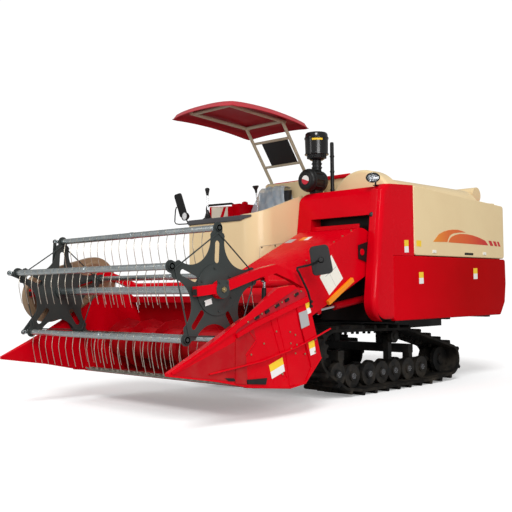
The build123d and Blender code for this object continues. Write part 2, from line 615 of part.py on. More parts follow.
def unloader_turret():
    """Upright grain pipe at the rear right corner."""
    x, y = UNLOADER
    z = TANK_FLOOR + UNLOADER_RADIUS + 180
    return fuse([post(x, y, z - 130, UNLOADER_Z - 150, UNLOADER_RADIUS),
                 rod((x, y, z), (TANK_REAR, y, z), UNLOADER_RADIUS - 6)])


def unloader_elbow():
    """Elbow head that swivels on the upright pipe, with the two lugs that carry the tube's pin."""
    x, y = UNLOADER
    hinge = UNLOADER_Z + UNLOADER_RADIUS + 22
    pieces = [post(x, y, UNLOADER_Z - 150 + SEAT_GAP, UNLOADER_Z + 40, UNLOADER_RADIUS + 10),
              rod((x, y, UNLOADER_Z), (x, y + UNLOADER_ARM, UNLOADER_Z), UNLOADER_RADIUS),
              rod((x - 48, y + UNLOADER_ARM, hinge), (x + 48, y + UNLOADER_ARM, hinge), PIN / 2)]
    for side in (-1, 1):
        mid = x + side * 38
        lug = block(mid - 6, mid + 6, y + UNLOADER_ARM - 60, y + UNLOADER_ARM + 18, UNLOADER_Z + 60, hinge + 18)
        pieces.append(lug - block(mid - 7, mid + 7, y + UNLOADER_ARM, y + UNLOADER_ARM + 19,
                                  UNLOADER_Z + 59, UNLOADER_Z + UNLOADER_RADIUS + 5))
    return fuse(pieces)


def unloader_tube():
    """Unloading auger tube, folded across the rear, with its spout."""
    x, y = UNLOADER
    start, hinge = y + UNLOADER_ARM, UNLOADER_Z + UNLOADER_RADIUS + 22
    tube = rod((x, start + RUN, UNLOADER_Z), (x, UNLOADER_END, UNLOADER_Z), UNLOADER_RADIUS)
    spout = post(x, UNLOADER_END - 90, UNLOADER_Z - UNLOADER_RADIUS - 40, UNLOADER_Z, 78)
    lug = block(x - 24, x + 24, start - 14, start + 70, hinge - 30, hinge + 14)
    lug = lug - block(x - 25, x + 25, start - 15, start + RUN, hinge - 31, hinge - 11)
    pin = rod((x - 26, start, hinge), (x + 26, start, hinge), PIN / 2 + PIN_RUN)
    return fuse([tube, spout, lug]) - pin


# ---- operator's station -----------------------------------------------------------
def operator_deck():
    """Deck plate with its frame and the step at the right."""
    deck = block(ENGINE_FRONT + GAP, DECK_FRONT - FAIRING_THICK - GAP, DECK_RIGHT + FAIRING_THICK,
                 DECK_LEFT - FAIRING_THICK - GAP, DECK_Z - 30, DECK_Z)
    corner = [e for e in deck.edges() if abs((e % 0.5).Z) > 0.99 and e.center().X > ENGINE_FRONT + 100
              and e.center().Y > DECK_LEFT - 100]
    deck = fillet(corner, FAIRING_ROUND - FAIRING_THICK)
    pieces = [deck]
    for x in (ENGINE_FRONT + 60, 960.0):
        for y in (-RAIL_Y, -RAIL_Y * 2.6):
            pieces.append(block(x - 25, x + 25, y - 25, y + 25, RAIL_Z1 + GAP, DECK_Z - 28))
        pieces.append(block(x - 30, x + 30, -RAIL_Y * 2.7, -RAIL_Y + 30, RAIL_Z1 + GAP, RAIL_Z1 + 46))
    return fuse(pieces)


def operator_fairing():
    """Beige fairing: front wall, rounded left corner and the left wall with its rising edge."""
    rear = ENGINE_FRONT - 190
    outer = plan_prism([(rear, DECK_LEFT), (rear, DECK_RIGHT), (DECK_FRONT, DECK_RIGHT),
                        (DECK_FRONT, DECK_LEFT)], FAIRING_BOTTOM, 1900)
    corner = [e for e in outer.edges() if abs((e % 0.5).Z) > 0.99 and e.center().X > rear + 10
              and e.center().Y > 0]
    outer = fillet(corner, FAIRING_ROUND)
    inner = plan_prism([(rear - 1, DECK_LEFT - FAIRING_THICK), (rear - 1, DECK_RIGHT - 1),
                        (DECK_FRONT - FAIRING_THICK, DECK_RIGHT - 1),
                        (DECK_FRONT - FAIRING_THICK, DECK_LEFT - FAIRING_THICK)], FAIRING_BOTTOM - 1, 1901)
    corner = [e for e in inner.edges() if abs((e % 0.5).Z) > 0.99 and e.center().X > rear + 10
              and e.center().Y > -60]
    inner = fillet(corner, FAIRING_ROUND - FAIRING_THICK)
    shell = outer - inner
    over = side_prism([(rear - 5, 1850), (470, 1850), (DECK_FRONT + 5, DASH_Z + DASH_HEIGHT),
                       (DECK_FRONT + 5, 2000), (rear - 5, 2000)], DECK_RIGHT - 5, DECK_LEFT + 5)
    dash = block(DECK_FRONT - 200, DECK_FRONT + 5, DECK_RIGHT - 5, CONSOLE_LEFT + GAP, DASH_Z, 1901)
    return shell - over - dash


def console():
    """Dark dashboard band along the top of the front wall."""
    return block(DECK_FRONT - 150, DECK_FRONT + 14, CONSOLE_RIGHT, CONSOLE_LEFT, DASH_Z + GAP,
                 DASH_Z + DASH_HEIGHT)


def seat():
    """Seat cushion and back on its box."""
    rear = CABINET_FRONT + 8
    cushion = block(rear + 30, rear + 480, SEAT_Y - 240, SEAT_Y + 240, 1560, 1650)
    back = side_prism([(rear + 30, 1600), (rear + 120, 1600), (rear + 80, 1965), (rear, 1965)],
                      SEAT_Y - 220, SEAT_Y + 220)
    base = block(rear + 40, ENGINE_FRONT - 20, SEAT_Y - 200, SEAT_Y + 200, ENGINE_HOOD_Z + GAP, 1562)
    return fuse([cushion, back, base])


def engine_hood():
    """Housing over the engine, open below, which carries the seat."""
    return block(TANK_FRONT + 30, ENGINE_FRONT, BODY_RIGHT + 30, DECK_LEFT - 60, DECK_Z - 50, ENGINE_HOOD_Z)


# ---- feeder house -----------------------------------------------------------------
def along_feeder(distance, rise):
    """Point (x, z) at a distance forward of the pivot along the feeder, and above its middle."""
    a = radians(-FEEDER_SLOPE)
    return (PIVOT_X + distance * cos(a) - rise * sin(a), PIVOT_Z + distance * sin(a) + rise * cos(a))


def header_back(z):
    """x of the header's back line at a height."""
    low, high = (1640.0, 430.0), (1768.0, 880.0)
    return low[0] + (z - low[1]) * (high[0] - low[0]) / (high[1] - low[1])


def feeder_house():
    """Sloping conveyor housing, round at its upper shaft, open into the header."""
    half = FEEDER_DEPTH / 2
    top_end, low_end = along_feeder(FEEDER_TOP, half), along_feeder(FEEDER_LOW, -half)
    front = [top_end, (header_back(BEAM_LOW - 6) - SHEET - GAP, BEAM_LOW - 6), (header_back(low_end[1]) - SHEET - GAP, low_end[1])]
    outline = [along_feeder(0, half)] + front + [along_feeder(0, -half)]
    body = side_prism(outline, FEEDER_RIGHT, FEEDER_LEFT)
    body = body.fuse(disc(PIVOT_X, PIVOT_Z, FEEDER_RIGHT, FEEDER_LEFT, half))
    wall = 12.0
    throat = FEEDER_TOP - FEEDER_THROAT
    hollow = [along_feeder(throat, half - wall), along_feeder(FEEDER_TOP - 60, half - wall),
              (header_back(BEAM_LOW - 40) + 20, BEAM_LOW - 40),
              (header_back(low_end[1] + 10) + 20, low_end[1] + wall + 10), along_feeder(throat, -half + wall)]
    body = body - side_prism(hollow, FEEDER_RIGHT + wall, FEEDER_LEFT - wall)
    pieces = [disc(PIVOT_X, PIVOT_Z, CORE_RIGHT + 1, SHIELD_INNER - 1, FEEDER_SHAFT)]
    pieces += pin_lugs(LIFT_EYE, along_feeder(along_pivot(LIFT_EYE), -half + 6), LIFT_Y, LIFT_RADIUS * 0.7, PIN)
    return fuse([body] + pieces)


def along_pivot(point):
    """Distance of a point from the pivot, measured along the feeder."""
    a = radians(-FEEDER_SLOPE)
    return (point[0] - PIVOT_X) * cos(a) + (point[1] - PIVOT_Z) * sin(a)


def pin_lugs(pin_at, root_at, y, half, pin):
    """Two lugs from a root point to a pin, with the pin between them."""
    pieces = [disc(*pin_at, y - half - 14, y + half + 14, pin)]
    for side in (-1, 1):
        mid = y + side * (half + 9)
        pieces.append(strut((pin_at[0], mid, pin_at[1]), (root_at[0], mid, root_at[1]), 10, pin * 4.4))
        pieces.append(disc(*pin_at, mid - 5, mid + 5, pin * 2.2))
    return pieces


def safety_bar():
    """Orange lock bar on the feeder's left side, with its end plates."""
    y = FEEDER_LEFT + GAP
    bar = strut((*BAR_REAR[:1], y + 14, BAR_REAR[1]), (*BAR_FRONT[:1], y + 14, BAR_FRONT[1]), 28, 40)
    return bar


# ---- header -----------------------------------------------------------------------
HEADER_LEFT, HEADER_RIGHT = HEADER_MID + HEADER_HALF, HEADER_MID - HEADER_HALF


def folded_sheet(points, thickness, y0, y1):
    """Sheet folded along an open (x, z) line, with its thickness on the line's left."""
    normals = []
    for (xa, za), (xb, zb) in zip(points, points[1:]):
        span = hypot(xb - xa, zb - za)
        normals.append((-(zb - za) / span, (xb - xa) / span))
    back = []
    for i, (x, z) in enumerate(points):
        n0, n1 = normals[max(i - 1, 0)], normals[min(i, len(normals) - 1)]
        share = thickness / (1 + n0[0] * n1[0] + n0[1] * n1[1])
        back.append((x + (n0[0] + n1[0]) * share, z + (n0[1] + n1[1]) * share))
    return side_prism(list(points) + back[::-1], y0, y1)


def header_trough():
    """Trough sheet under and behind the auger, with the mouth into the feeder and the top beam."""
    inner = HEADER_HALF - SIDE_THICK - GAP
    y0, y1 = HEADER_MID - inner, HEADER_MID + inner
    line = [(KNIFE_X - 30, KNIFE_Z - 14), (2160, 240), (1975, 222), (1852, 238), (1700, 350),
            (header_back(450), 450), (header_back(BEAM_LOW + 20), BEAM_LOW + 20)]
    sheet = folded_sheet(line, SHEET, y0, y1)
    x = header_back(BEAM_LOW)
    beam = block(x - SHEET, x + 58, y0, y1, BEAM_LOW, BEAM_TOP)
    mouth = block(1600, 1800, FEEDER_RIGHT + 24, FEEDER_LEFT - 24, 470, BEAM_LOW - 20)
    ribs = []
    for y in (y0 + 300, y0 + 700, FEEDER_RIGHT - 40, FEEDER_LEFT + 30):
        ribs.append(side_prism([(header_back(470) - SHEET - 30, 470), (x - SHEET - 40, BEAM_LOW + 10),
                                (x, BEAM_LOW + 10), (header_back(470) - 1, 470)], y, y + 20))
    return fuse([sheet - mouth, beam] + ribs)


def side_plate(outer, inward):
    """Pressed end plate of the header from its outer face, with three ribs."""
    outline = [(1775, 886), (1622, 417), (1833, 234), (1975, 215), (2177, 234), (KNIFE_X + 68, KNIFE_Z - 6),
               (KNIFE_X + 208, 640), (2103, 952), (1919, 973)]
    plate = side_prism(outline, outer, outer + inward * SIDE_THICK)
    # columns: lower x, lower z, upper x, upper z of each pressed rib
    for x0, z0, x1, z1 in ((1790, 330, 1880, 860), (1905, 300, 2040, 860), (2030, 290, 2210, 760)):
        rib = strut((x0, outer, z0), (x1, outer, z1), 12, 46)
        plate = plate - rib
    return plate - disc(AUGER_X, AUGER_Z, outer + inward, outer + inward * (SIDE_THICK + 1),
                        AUGER_SHAFT + PIN_RUN)


def divider(outer, inward):
    """Pointed crop divider in front of an end plate."""
    # columns: x, lower z, upper z, width as a share of the room beside the reel
    sections = [(KNIFE_X + 760, 398, 420, 0.5), (KNIFE_X + 348, 330, 612, 1.0),
                (KNIFE_X + 68, KNIFE_Z, 762, 1.0), (KNIFE_X - 22, KNIFE_Z - 6, 800, 0.8)]
    room = outer - REEL_LEFT - 26 if inward < 0 else REEL_RIGHT - 40 - outer
    faces = []
    for x, z0, z1, share in sections:
        y0, y1 = outer, outer + inward * share * room
        faces.append(make_face(Polyline((x, y0, z0), (x, y1, z0), (x, y1, z1 - 0.06 * (z1 - z0)),
                                        (x, y0, z1), close=True)))
    return loft(faces, ruled=True)


def header_ends():
    """Both end plates with their crop dividers."""
    pieces = []
    for outer, inward in ((HEADER_LEFT, -1), (HEADER_RIGHT, 1)):
        pieces.append(fuse([side_plate(outer, inward), divider(outer, inward)]))
    # pin that carries the reel's lift cylinder
    pin = disc(*REEL_LIFT_FOOT, ARM_Y - REEL_LIFT_RADIUS - 4, HEADER_MID + HEADER_HALF - SIDE_THICK + 2, PIN / 2)
    boss = disc(*REEL_LIFT_FOOT, ARM_Y + REEL_LIFT_RADIUS, HEADER_MID + HEADER_HALF - SIDE_THICK + 2, PIN * 1.4)
    pieces[0] = fuse([pieces[0], pin, boss])
    return Compound(pieces)


def knife_bar():
    """Cutter bar: back bar, guards and the toothed blade."""
    inner = HEADER_HALF - SIDE_THICK - 130
    y0, y1 = HEADER_MID - inner, HEADER_MID + inner
    pieces = [block(KNIFE_X - 30, KNIFE_X + 10, y0, y1, KNIFE_Z - 8, KNIFE_Z + 12)]
    count = int((y1 - y0) // GUARD_PITCH)
    start = (y0 + y1) / 2 - (count - 1) * GUARD_PITCH / 2
    for i in range(count):
        y = start + i * GUARD_PITCH
        pieces.append(plan_prism([(KNIFE_X + 8, y - 13), (KNIFE_X + GUARD_LENGTH, y - 2),
                                  (KNIFE_X + GUARD_LENGTH, y + 2), (KNIFE_X + 8, y + 13)],
                                 KNIFE_Z - 8, KNIFE_Z + 12))
    return fuse(pieces)


def header_auger():
    """Auger drum with opposed flights and its end shafts."""
    inner = HEADER_HALF - SIDE_THICK
    y0, y1 = HEADER_MID - inner + 14, HEADER_MID + inner - 14
    pieces = [disc(AUGER_X, AUGER_Z, y0, y1, AUGER_TUBE),
              disc(AUGER_X, AUGER_Z, y0 - 14 - SIDE_THICK / 2, y1 + 14 + SIDE_THICK / 2, AUGER_SHAFT)]
    pieces.append(auger_flight(y0 + 10, FEEDER_RIGHT + 60, 1))
    pieces.append(auger_flight(y1 - 10, FEEDER_LEFT - 60, -1))
    return fuse(pieces)


def auger_flight(y0, y1, hand):
    """Helical flight between two y values; hand is +1 or -1."""
    turns = abs(y1 - y0) / AUGER_PITCH
    steps = max(3, round(turns * 12))
    faces = []
    for i in range(steps + 1):
        angle = hand * 360 * turns * i / steps
        y = y0 + (y1 - y0) * i / steps
        (xa, za), (xb, zb) = (polar(AUGER_X, AUGER_Z, r, angle) for r in (AUGER_TUBE - 4, AUGER_FLIGHT))
        faces.append(make_face(Polyline((xa, y - 3, za), (xb, y - 3, zb), (xb, y + 3, zb), (xa, y + 3, za),
                                        close=True)))
    return loft(faces, ruled=True)


# ---- reel -------------------------------------------------------------------------
def spider_sketch():
    """Outline of a pressed reel spider with its five flared arms, centred on its axis."""
    centre, bite, shoulder = REEL_RADIUS * 0.983, REEL_RADIUS * 0.433, REEL_RADIUS * 0.93
    plate = Circle(REEL_RADIUS * 0.9)
    for i in range(REEL_ARMS):
        angle = REEL_START + 360 / REEL_ARMS * i
        between = angle + 180 / REEL_ARMS
        plate -= Rot(0, 0, between) * Pos(centre, 0) * Circle(bite)
    for i in range(REEL_ARMS):
        angle = REEL_START + 360 / REEL_ARMS * i
        plate += Rot(0, 0, angle) * Pos(shoulder / 2, 0) * RectangleRounded(shoulder, SPIDER_ARM, 20)
        plate += Rot(0, 0, angle) * Pos(REEL_RADIUS * 0.9, 0) * Rectangle(REEL_RADIUS * 0.2, SPIDER_EYE * 2)
        plate += Pos(*polar(0, 0, REEL_RADIUS, angle)) * Circle(SPIDER_EYE)
    for i in range(REEL_ARMS):
        angle = REEL_START + 360 / REEL_ARMS * i
        plate -= Rot(0, 0, angle) * Pos(REEL_RADIUS * 0.61, 0) * SlotOverall(SPIDER_SLOT[0], SPIDER_SLOT[1])
        plate -= Pos(*polar(0, 0, REEL_RADIUS, angle)) * Circle(BAR_TUBE + PIN_RUN)
    return plate


def side_plane(x, z, y):
    """Sketch plane at y whose local axes are +X and +Z."""
    return Plane(origin=(x, y, z), x_dir=(1, 0, 0), z_dir=(0, -1, 0))


def reel_spiders():
    """The reel's two spiders with their hubs and the thin ties between the arm tips."""
    pieces = []
    for y in (REEL_LEFT, REEL_RIGHT):
        sketch = side_plane(REEL_X, REEL_Z, y + SPIDER_SHEET / 2) * spider_sketch()
        pieces.append(extrude(sketch, amount=SPIDER_SHEET, dir=(0, -1, 0)))
        pieces.append(disc(REEL_X, REEL_Z, y - 12, y + 22, REEL_SHAFT + 22))
        tie_y = y + 7
        for i in range(REEL_ARMS):
            a, b = (polar(REEL_X, REEL_Z, REEL_RADIUS - 34, REEL_START + 72 * k) for k in (i, i + 1))
            pieces.append(rod((a[0], tie_y, a[1]), (b[0], tie_y, b[1]), 5))
    bore = disc(REEL_X, REEL_Z, REEL_RIGHT - 40, REEL_LEFT + 40, REEL_SHAFT + SEAT_GAP)
    return Compound([spider.cut(bore) for spider in fuse(pieces).solids()])


def reel_shaft():
    """Shaft through both reel arms and both spiders."""
    return disc(REEL_X, REEL_Z, ARM_RIGHT_Y - ARM_WIDTH / 2, ARM_Y - ARM_WIDTH / 2 + 16, REEL_SHAFT)


def bar_centre(i):
    """Axis of tine bar i, as (x, z)."""
    return polar(REEL_X, REEL_Z, REEL_RADIUS, REEL_START + 360 / REEL_ARMS * i)


def tine_bar(i):
    """Tine bar i: its tube with the hanging spring tines and the crank to the control ring."""
    x, z = bar_centre(i)
    y0, y1 = CRANK_Y - 3, REEL_LEFT + 18
    pieces = [disc(x, z, y0, y1, BAR_TUBE), disc(x + ECCENTRIC, z, CONTROL_Y - 8, CRANK_Y + 3, CRANK_PIN)]
    pieces.append(strut((x, CRANK_Y, z), (x + ECCENTRIC + 10, CRANK_Y, z), 6, 26))
    count = int((REEL_LEFT - REEL_RIGHT - 120) // TINE_PITCH) + 1
    start = (REEL_LEFT + REEL_RIGHT - (count - 1) * TINE_PITCH) / 2
    for k in range(count):
        y = start + k * TINE_PITCH
        line = Polyline((x + 4, y, z - 10), (x + 16, y, z - 90), (x + 2, y, z - 180), (x - 12, y, z - TINE_DROP))
        square = Plane(origin=line @ 0, z_dir=line % 0) * Rectangle(TINE_WIRE * 2, TINE_WIRE * 2)
        pieces.append(sweep(square, path=line, transition=Transition.RIGHT))
    return fuse(pieces)


def reel_arm(y, tube_width):
    """Arched arm of the reel at y."""
    line = [(ARM_PIVOT[0] - 30, ARM_PIVOT[1] - 34), (1930, 1016), (2068, 1058), (2226, 1028),
            (REEL_X - 10, 922), (2830, 900)]
    arm = folded_sheet(line, 66, y - tube_width / 2, y + tube_width / 2)
    return arm


def reel_arms():
    """Both arms with their shaft bearings and the torsion tube that joins them."""
    pieces = []
    for y in (ARM_Y, ARM_RIGHT_Y):
        pieces.append(reel_arm(y, ARM_WIDTH))
        pieces.append(disc(REEL_X, REEL_Z, y - ARM_WIDTH / 2, y + ARM_WIDTH / 2, 62))
    pieces.append(disc(*ARM_PIVOT, ARM_RIGHT_Y, ARM_Y, 30))
    x, z = REEL_LIFT_EYE
    pieces += pin_lugs((x, z), (x, z + 44), ARM_Y, REEL_LIFT_RADIUS * 0.7, PIN / 2)
    inner = ARM_RIGHT_Y + ARM_WIDTH / 2
    pieces.append(disc(REEL_X + ECCENTRIC, REEL_Z, inner - 2, CONTROL_Y + 3, RING_INNER - PIN_RUN))
    body = fuse(pieces)
    bore = disc(REEL_X, REEL_Z, ARM_RIGHT_Y - ARM_WIDTH, ARM_Y - ARM_WIDTH / 2 + 24, REEL_SHAFT + PIN_RUN)
    return body - bore


def reel_guard():
    """Dished belt guard on the right reel arm."""
    y = ARM_RIGHT_Y - ARM_WIDTH / 2 - GAP
    (xa, za), (xb, zb) = GUARD_FRONT, GUARD_REAR
    heading = degrees(atan2(zb - za, xb - xa))
    length = hypot(xb - xa, zb - za) + 2 * GUARD_RADIUS
    sketch = side_plane((xa + xb) / 2, (za + zb) / 2, y) * (Rot(0, 0, heading) * SlotOverall(length, 2 * GUARD_RADIUS))
    dish = extrude(sketch, amount=70, dir=(0, -1, 0))
    return dish


def header_mirror():
    """Large mirror on its bent bracket at the header's left rear corner."""
    x, y, z = HEADER_MIRROR
    plate = Pos(x, y, z) * Rot(0, 0, 42) * Box(26, 190, 240)
    out = HEADER_LEFT + 9 + GAP
    stem = bent_tube([(1800, out, 800), (1800, out, 1110), (x, y, 1110)], 9, 40)
    return fuse([plate, stem])


# ---- canopy and the station's fittings --------------------------------------------
def canopy_point(along, across, rise=0.0):
    """Point on the sloping canopy plane from its rear right corner."""
    slope = CANOPY_RISE / CANOPY_LENGTH
    return (CANOPY_X + along - rise * slope, CANOPY_Y + across, CANOPY_Z + along * slope + rise)


def canopy_frame():
    """Beige tube frame: two long tubes, two cross tubes, the leaning posts and their bars."""
    pieces = []
    ends = (-40, CANOPY_LENGTH + 40)
    for across in (0, CANOPY_WIDTH):
        pieces.append(rod(canopy_point(ends[0], across), canopy_point(ends[1], across), TUBE))
    for along in (0, CANOPY_LENGTH):
        pieces.append(rod(canopy_point(along, 0), canopy_point(along, CANOPY_WIDTH), TUBE * 0.94))
    for across in (0, CANOPY_WIDTH):
        foot = (POST_BASE[0], CANOPY_Y + across, POST_BASE[1])
        pieces.append(rod(foot, canopy_point(0, across), TUBE * 0.97))
        pieces.append(block(foot[0] - 38, foot[0] + 32, foot[1] - 32, foot[1] + 32, foot[2] - TUBE, foot[2] - 6))
    for share in POST_BARS:
        ends = []
        for across in (0, CANOPY_WIDTH):
            top = canopy_point(0, across)
            ends.append((POST_BASE[0] + (top[0] - POST_BASE[0]) * share, top[1],
                         POST_BASE[1] + (top[2] - POST_BASE[1]) * share))
        pieces.append(rod(*ends, TUBE * 0.8))
    return fuse(pieces)


def post_plate():
    """Plain plate between the cross bars of the canopy posts."""
    top = canopy_point(0, 0)
    run, rise = top[0] - POST_BASE[0], top[2] - POST_BASE[1]
    length = hypot(run, rise)
    keep = (TUBE * 0.8 + GAP) / length
    right, left, thick = POST_PLATE
    outline = []
    for share, side in ((POST_BARS[0] + keep, -1), (POST_BARS[0] + keep, 1),
                        (POST_BARS[1] - keep, 1), (POST_BARS[1] - keep, -1)):
        outline.append((POST_BASE[0] + run * share + side * thick / 2 * rise / length,
                        POST_BASE[1] + rise * share - side * thick / 2 * run / length))
    return side_prism(outline, right, left)


def side_box():
    """Red cabinet beside the seat and the panel in front of it, at the station's right edge."""
    cabinet_box = block(CABINET_FRONT + 8, 556, SIDE_BOX_Y - 25, SIDE_BOX_Y + 85, ENGINE_HOOD_Z + GAP, 1835)
    front = side_prism([(550, ENGINE_HOOD_Z + 5), (550, 1815), (870, 1785), (870, DECK_Z + GAP),
                        (ENGINE_FRONT + 4, DECK_Z + GAP), (ENGINE_FRONT + 4, ENGINE_HOOD_Z + 5)],
                       SIDE_BOX_Y - 25, SIDE_BOX_Y)
    return fuse([cabinet_box, front])


def canopy():
    """Canopy shell on its frame: crowned top with a turned-down rim."""
    long, wide, deep = CANOPY_SHELL
    slab = Box(long, wide, deep)
    slab = fillet([e for e in slab.edges() if abs((e % 0.5).Z) > 0.99], 120)
    slab = fillet([e for e in slab.edges() if e.bounding_box().min.Z > deep / 2 - 0.01], 40)
    hollow = Pos(0, 0, -18) * fillet([e for e in Box(long - 60, wide - 60, deep).edges()
                                      if abs((e % 0.5).Z) > 0.99], 95)
    middle = canopy_point(CANOPY_LENGTH / 2 - 38, CANOPY_WIDTH / 2, TUBE + SEAT_GAP + 18 - deep / 2)
    tilt = degrees(atan2(CANOPY_RISE, CANOPY_LENGTH))
    return Pos(*middle) * Rot(0, -tilt, 0) * (slab - hollow)


def cabinet():
    """Beige cabinet behind the seat, which carries the canopy posts."""
    return block(TANK_FRONT + 26 + GAP, CABINET_FRONT, CANOPY_Y - 60, CANOPY_Y + CANOPY_WIDTH + 60,
                 ENGINE_HOOD_Z + GAP, POST_BASE[1] - TUBE)


def air_filter():
    """Air filter drum on its side, with the neck of the pre-cleaner."""
    x, y, z = FILTER
    drum = rod((x - 120, y, z), (x + 120, y, z), FILTER_RADIUS)
    drum = fillet(drum.edges().filter_by(GeomType.CIRCLE), 22)
    neck = post(x - 60, y, z + 60, PRECLEANER_Z - GAP, 46)
    foot = block(x - 90, x + 25, y - 26, y + 50, ROOF_FRONT, z - 60)
    return fuse([drum, neck, foot])


def precleaner():
    """Pre-cleaner bowl and cap on the filter's neck."""
    x, y, z = FILTER[0] - 60, FILTER[1], PRECLEANER_Z
    return fuse([post(x, y, z, z + 40, 78), post(x, y, z + 38, z + 216, 117), post(x, y, z + 214, z + 244, 96)])


def exhaust_pipe():
    """Black upright pipe behind the filter, with its foot plate on the roof."""
    x, y, top = EXHAUST
    level = side_prism([(x - 90, ROOF_REAR), (x + 90, ROOF_REAR), (x + 90, roof_z(x + 90) + GAP),
                        (x - 90, roof_z(x - 90) + GAP)], y - 90, y + 90)
    foot = post(x, y, ROOF_REAR + 40, roof_z(x) + 12, 40) - level
    return fuse([post(x, y, roof_z(x) + 8, top, 19), foot])


def control_levers():
    """Two control levers with their knobs, on the dashboard and beside the seat."""
    pieces = []
    # columns: foot x, y, z, knob x, y, z
    for x0, y0, z0, x1, y1, z1 in ((1030, -720, DASH_Z + DASH_HEIGHT + GAP, 1034, -720, 1922),
                                   (838, -150, DECK_Z + GAP, 925, -150, 1900)):
        pieces.append(fuse([rod((x0, y0, z0 + 12), (x1, y1, z1), 8), Pos(x1, y1, z1) * Sphere(24),
                            post(x0, y0, z0, z0 + 40, 34)]))
    return Compound(pieces)


def side_mirror():
    """Small mirror and round lamp on a wire bracket at the dashboard's right end."""
    x, y = DECK_FRONT + 30, DECK_RIGHT - 150
    plate = block(x - 10, x + 10, y - 52, y + 52, 1640, 1890)
    stem = bent_tube([(DECK_FRONT - 40, CONSOLE_RIGHT - GAP, DASH_Z + 26), (DECK_FRONT - 40, y - 60, DASH_Z + 26),
                      (x - 4, y - 60, DASH_Z + 40), (x - 4, y - 60, 1760), (x - 4, y - 40, 1760)], 6, 8)
    lamp = rod((DECK_FRONT - 60, y + 90, 1688), (DECK_FRONT + 6, y + 90, 1688), 46)
    foot = post(DECK_FRONT - 40, y + 90, DASH_Z + 26, 1660, 8)
    return fuse([plate, stem, lamp, foot])


def handrail_and_step():
    """Bent tube rail along the right edge of the deck and the step below it."""
    y = DECK_RIGHT + 42
    rear, front = 505, 890
    rail = bent_tube([(rear, y, ENGINE_HOOD_Z + GAP), (rear, y, 1850), (front, y, 1800), (front, y, DECK_Z + GAP)],
                     11, 40)
    middle = rod((rear, y, 1500), (front, y, 1500), 10)
    y = DECK_RIGHT - 10
    step = [block(720, 1040, y - 60, y + 100, 760, 776)]
    for x in (730, 1030):
        step.append(block(x - 8, x + 8, y + 80, y + 100, 760, DECK_Z - 30 - GAP))
    return Compound([fuse([rail, middle]), fuse(step)])


def work_lamp():
    """Round work lamp on its stalk over the left shield."""
    x, y, z = LAMP
    head = rod((x - 50, y, z), (x + 24, y, z), 58)
    stalk = post(x - 40, y, ROOF_FRONT - 30, z - 40, 9) - Pos(0, 0, SEAT_GAP) * left_front_shield()
    return fuse([head, stalk])


def radiator_screen():
    """Screen of the engine's air intake on the right side."""
    return block(TANK_FRONT + 60, ENGINE_FRONT - 20, BODY_RIGHT, BODY_RIGHT + 30, BODY_FLOOR + 60, ENGINE_HOOD_Z - 40)


# ---- header lift and reel lift ----------------------------------------------------
def unit(start, end):
    """Length and unit direction from one (x, z) point to another."""
    span = hypot(end[0] - start[0], end[1] - start[1])
    return span, (end[0] - start[0]) / span, (end[1] - start[1]) / span


def cylinder_barrel(foot, eye, y, radius, pin, share):
    """Hydraulic barrel from its foot pin towards the rod's eye; share is its part of the closed length."""
    span, dx, dz = unit(foot, eye)
    near, far = pin * 1.5, span * share
    tube = rod((foot[0] + dx * near, y, foot[1] + dz * near), (foot[0] + dx * far, y, foot[1] + dz * far), radius)
    bore = rod((foot[0] + dx * (near + 30), y, foot[1] + dz * (near + 30)),
               (foot[0] + dx * (far + 5), y, foot[1] + dz * (far + 5)), radius * ROD_SHARE + PIN_RUN)
    lug = disc(*foot, y - radius * 0.8, y + radius * 0.8, pin * 2)
    return fuse([tube - bore, lug]) - disc(*foot, y - radius, y + radius, pin + PIN_RUN)


def cylinder_rod(foot, eye, y, radius, pin, share):
    """Polished rod with its eye; it starts at a share of the closed length."""
    span, dx, dz = unit(foot, eye)
    start = span * share
    bar = rod((foot[0] + dx * start, y, foot[1] + dz * start), (eye[0] - dx * pin, y, eye[1] - dz * pin),
              radius * ROD_SHARE)
    ring = disc(*eye, y - radius * 0.7, y + radius * 0.7, pin * 2.4)
    return fuse([bar, ring]) - disc(*eye, y - radius, y + radius, pin + EYE_DRIFT)


def control_ring():
    """Eccentric ring with one arm to each tine bar's crank, which keeps the tines upright."""
    x, z = REEL_X + ECCENTRIC, REEL_Z
    y0, y1 = CONTROL_Y - 3, CONTROL_Y + 3
    pieces = [disc(x, z, y0, y1, RING_OUTER)]
    for i in range(REEL_ARMS):
        tip = polar(x, z, REEL_RADIUS, REEL_START + 360 / REEL_ARMS * i)
        pieces.append(strut((x, CONTROL_Y, z), (tip[0], CONTROL_Y, tip[1]), 6, 30))
        pieces.append(disc(*tip, y0, y1, 20))
    ring = fuse(pieces) - disc(x, z, y0 - 1, y1 + 1, RING_INNER)
    for i in range(REEL_ARMS):
        tip = polar(x, z, REEL_RADIUS, REEL_START + 360 / REEL_ARMS * i)
        ring -= disc(*tip, y0 - 1, y1 + 1, CRANK_PIN + PIN_RUN)
    return ring


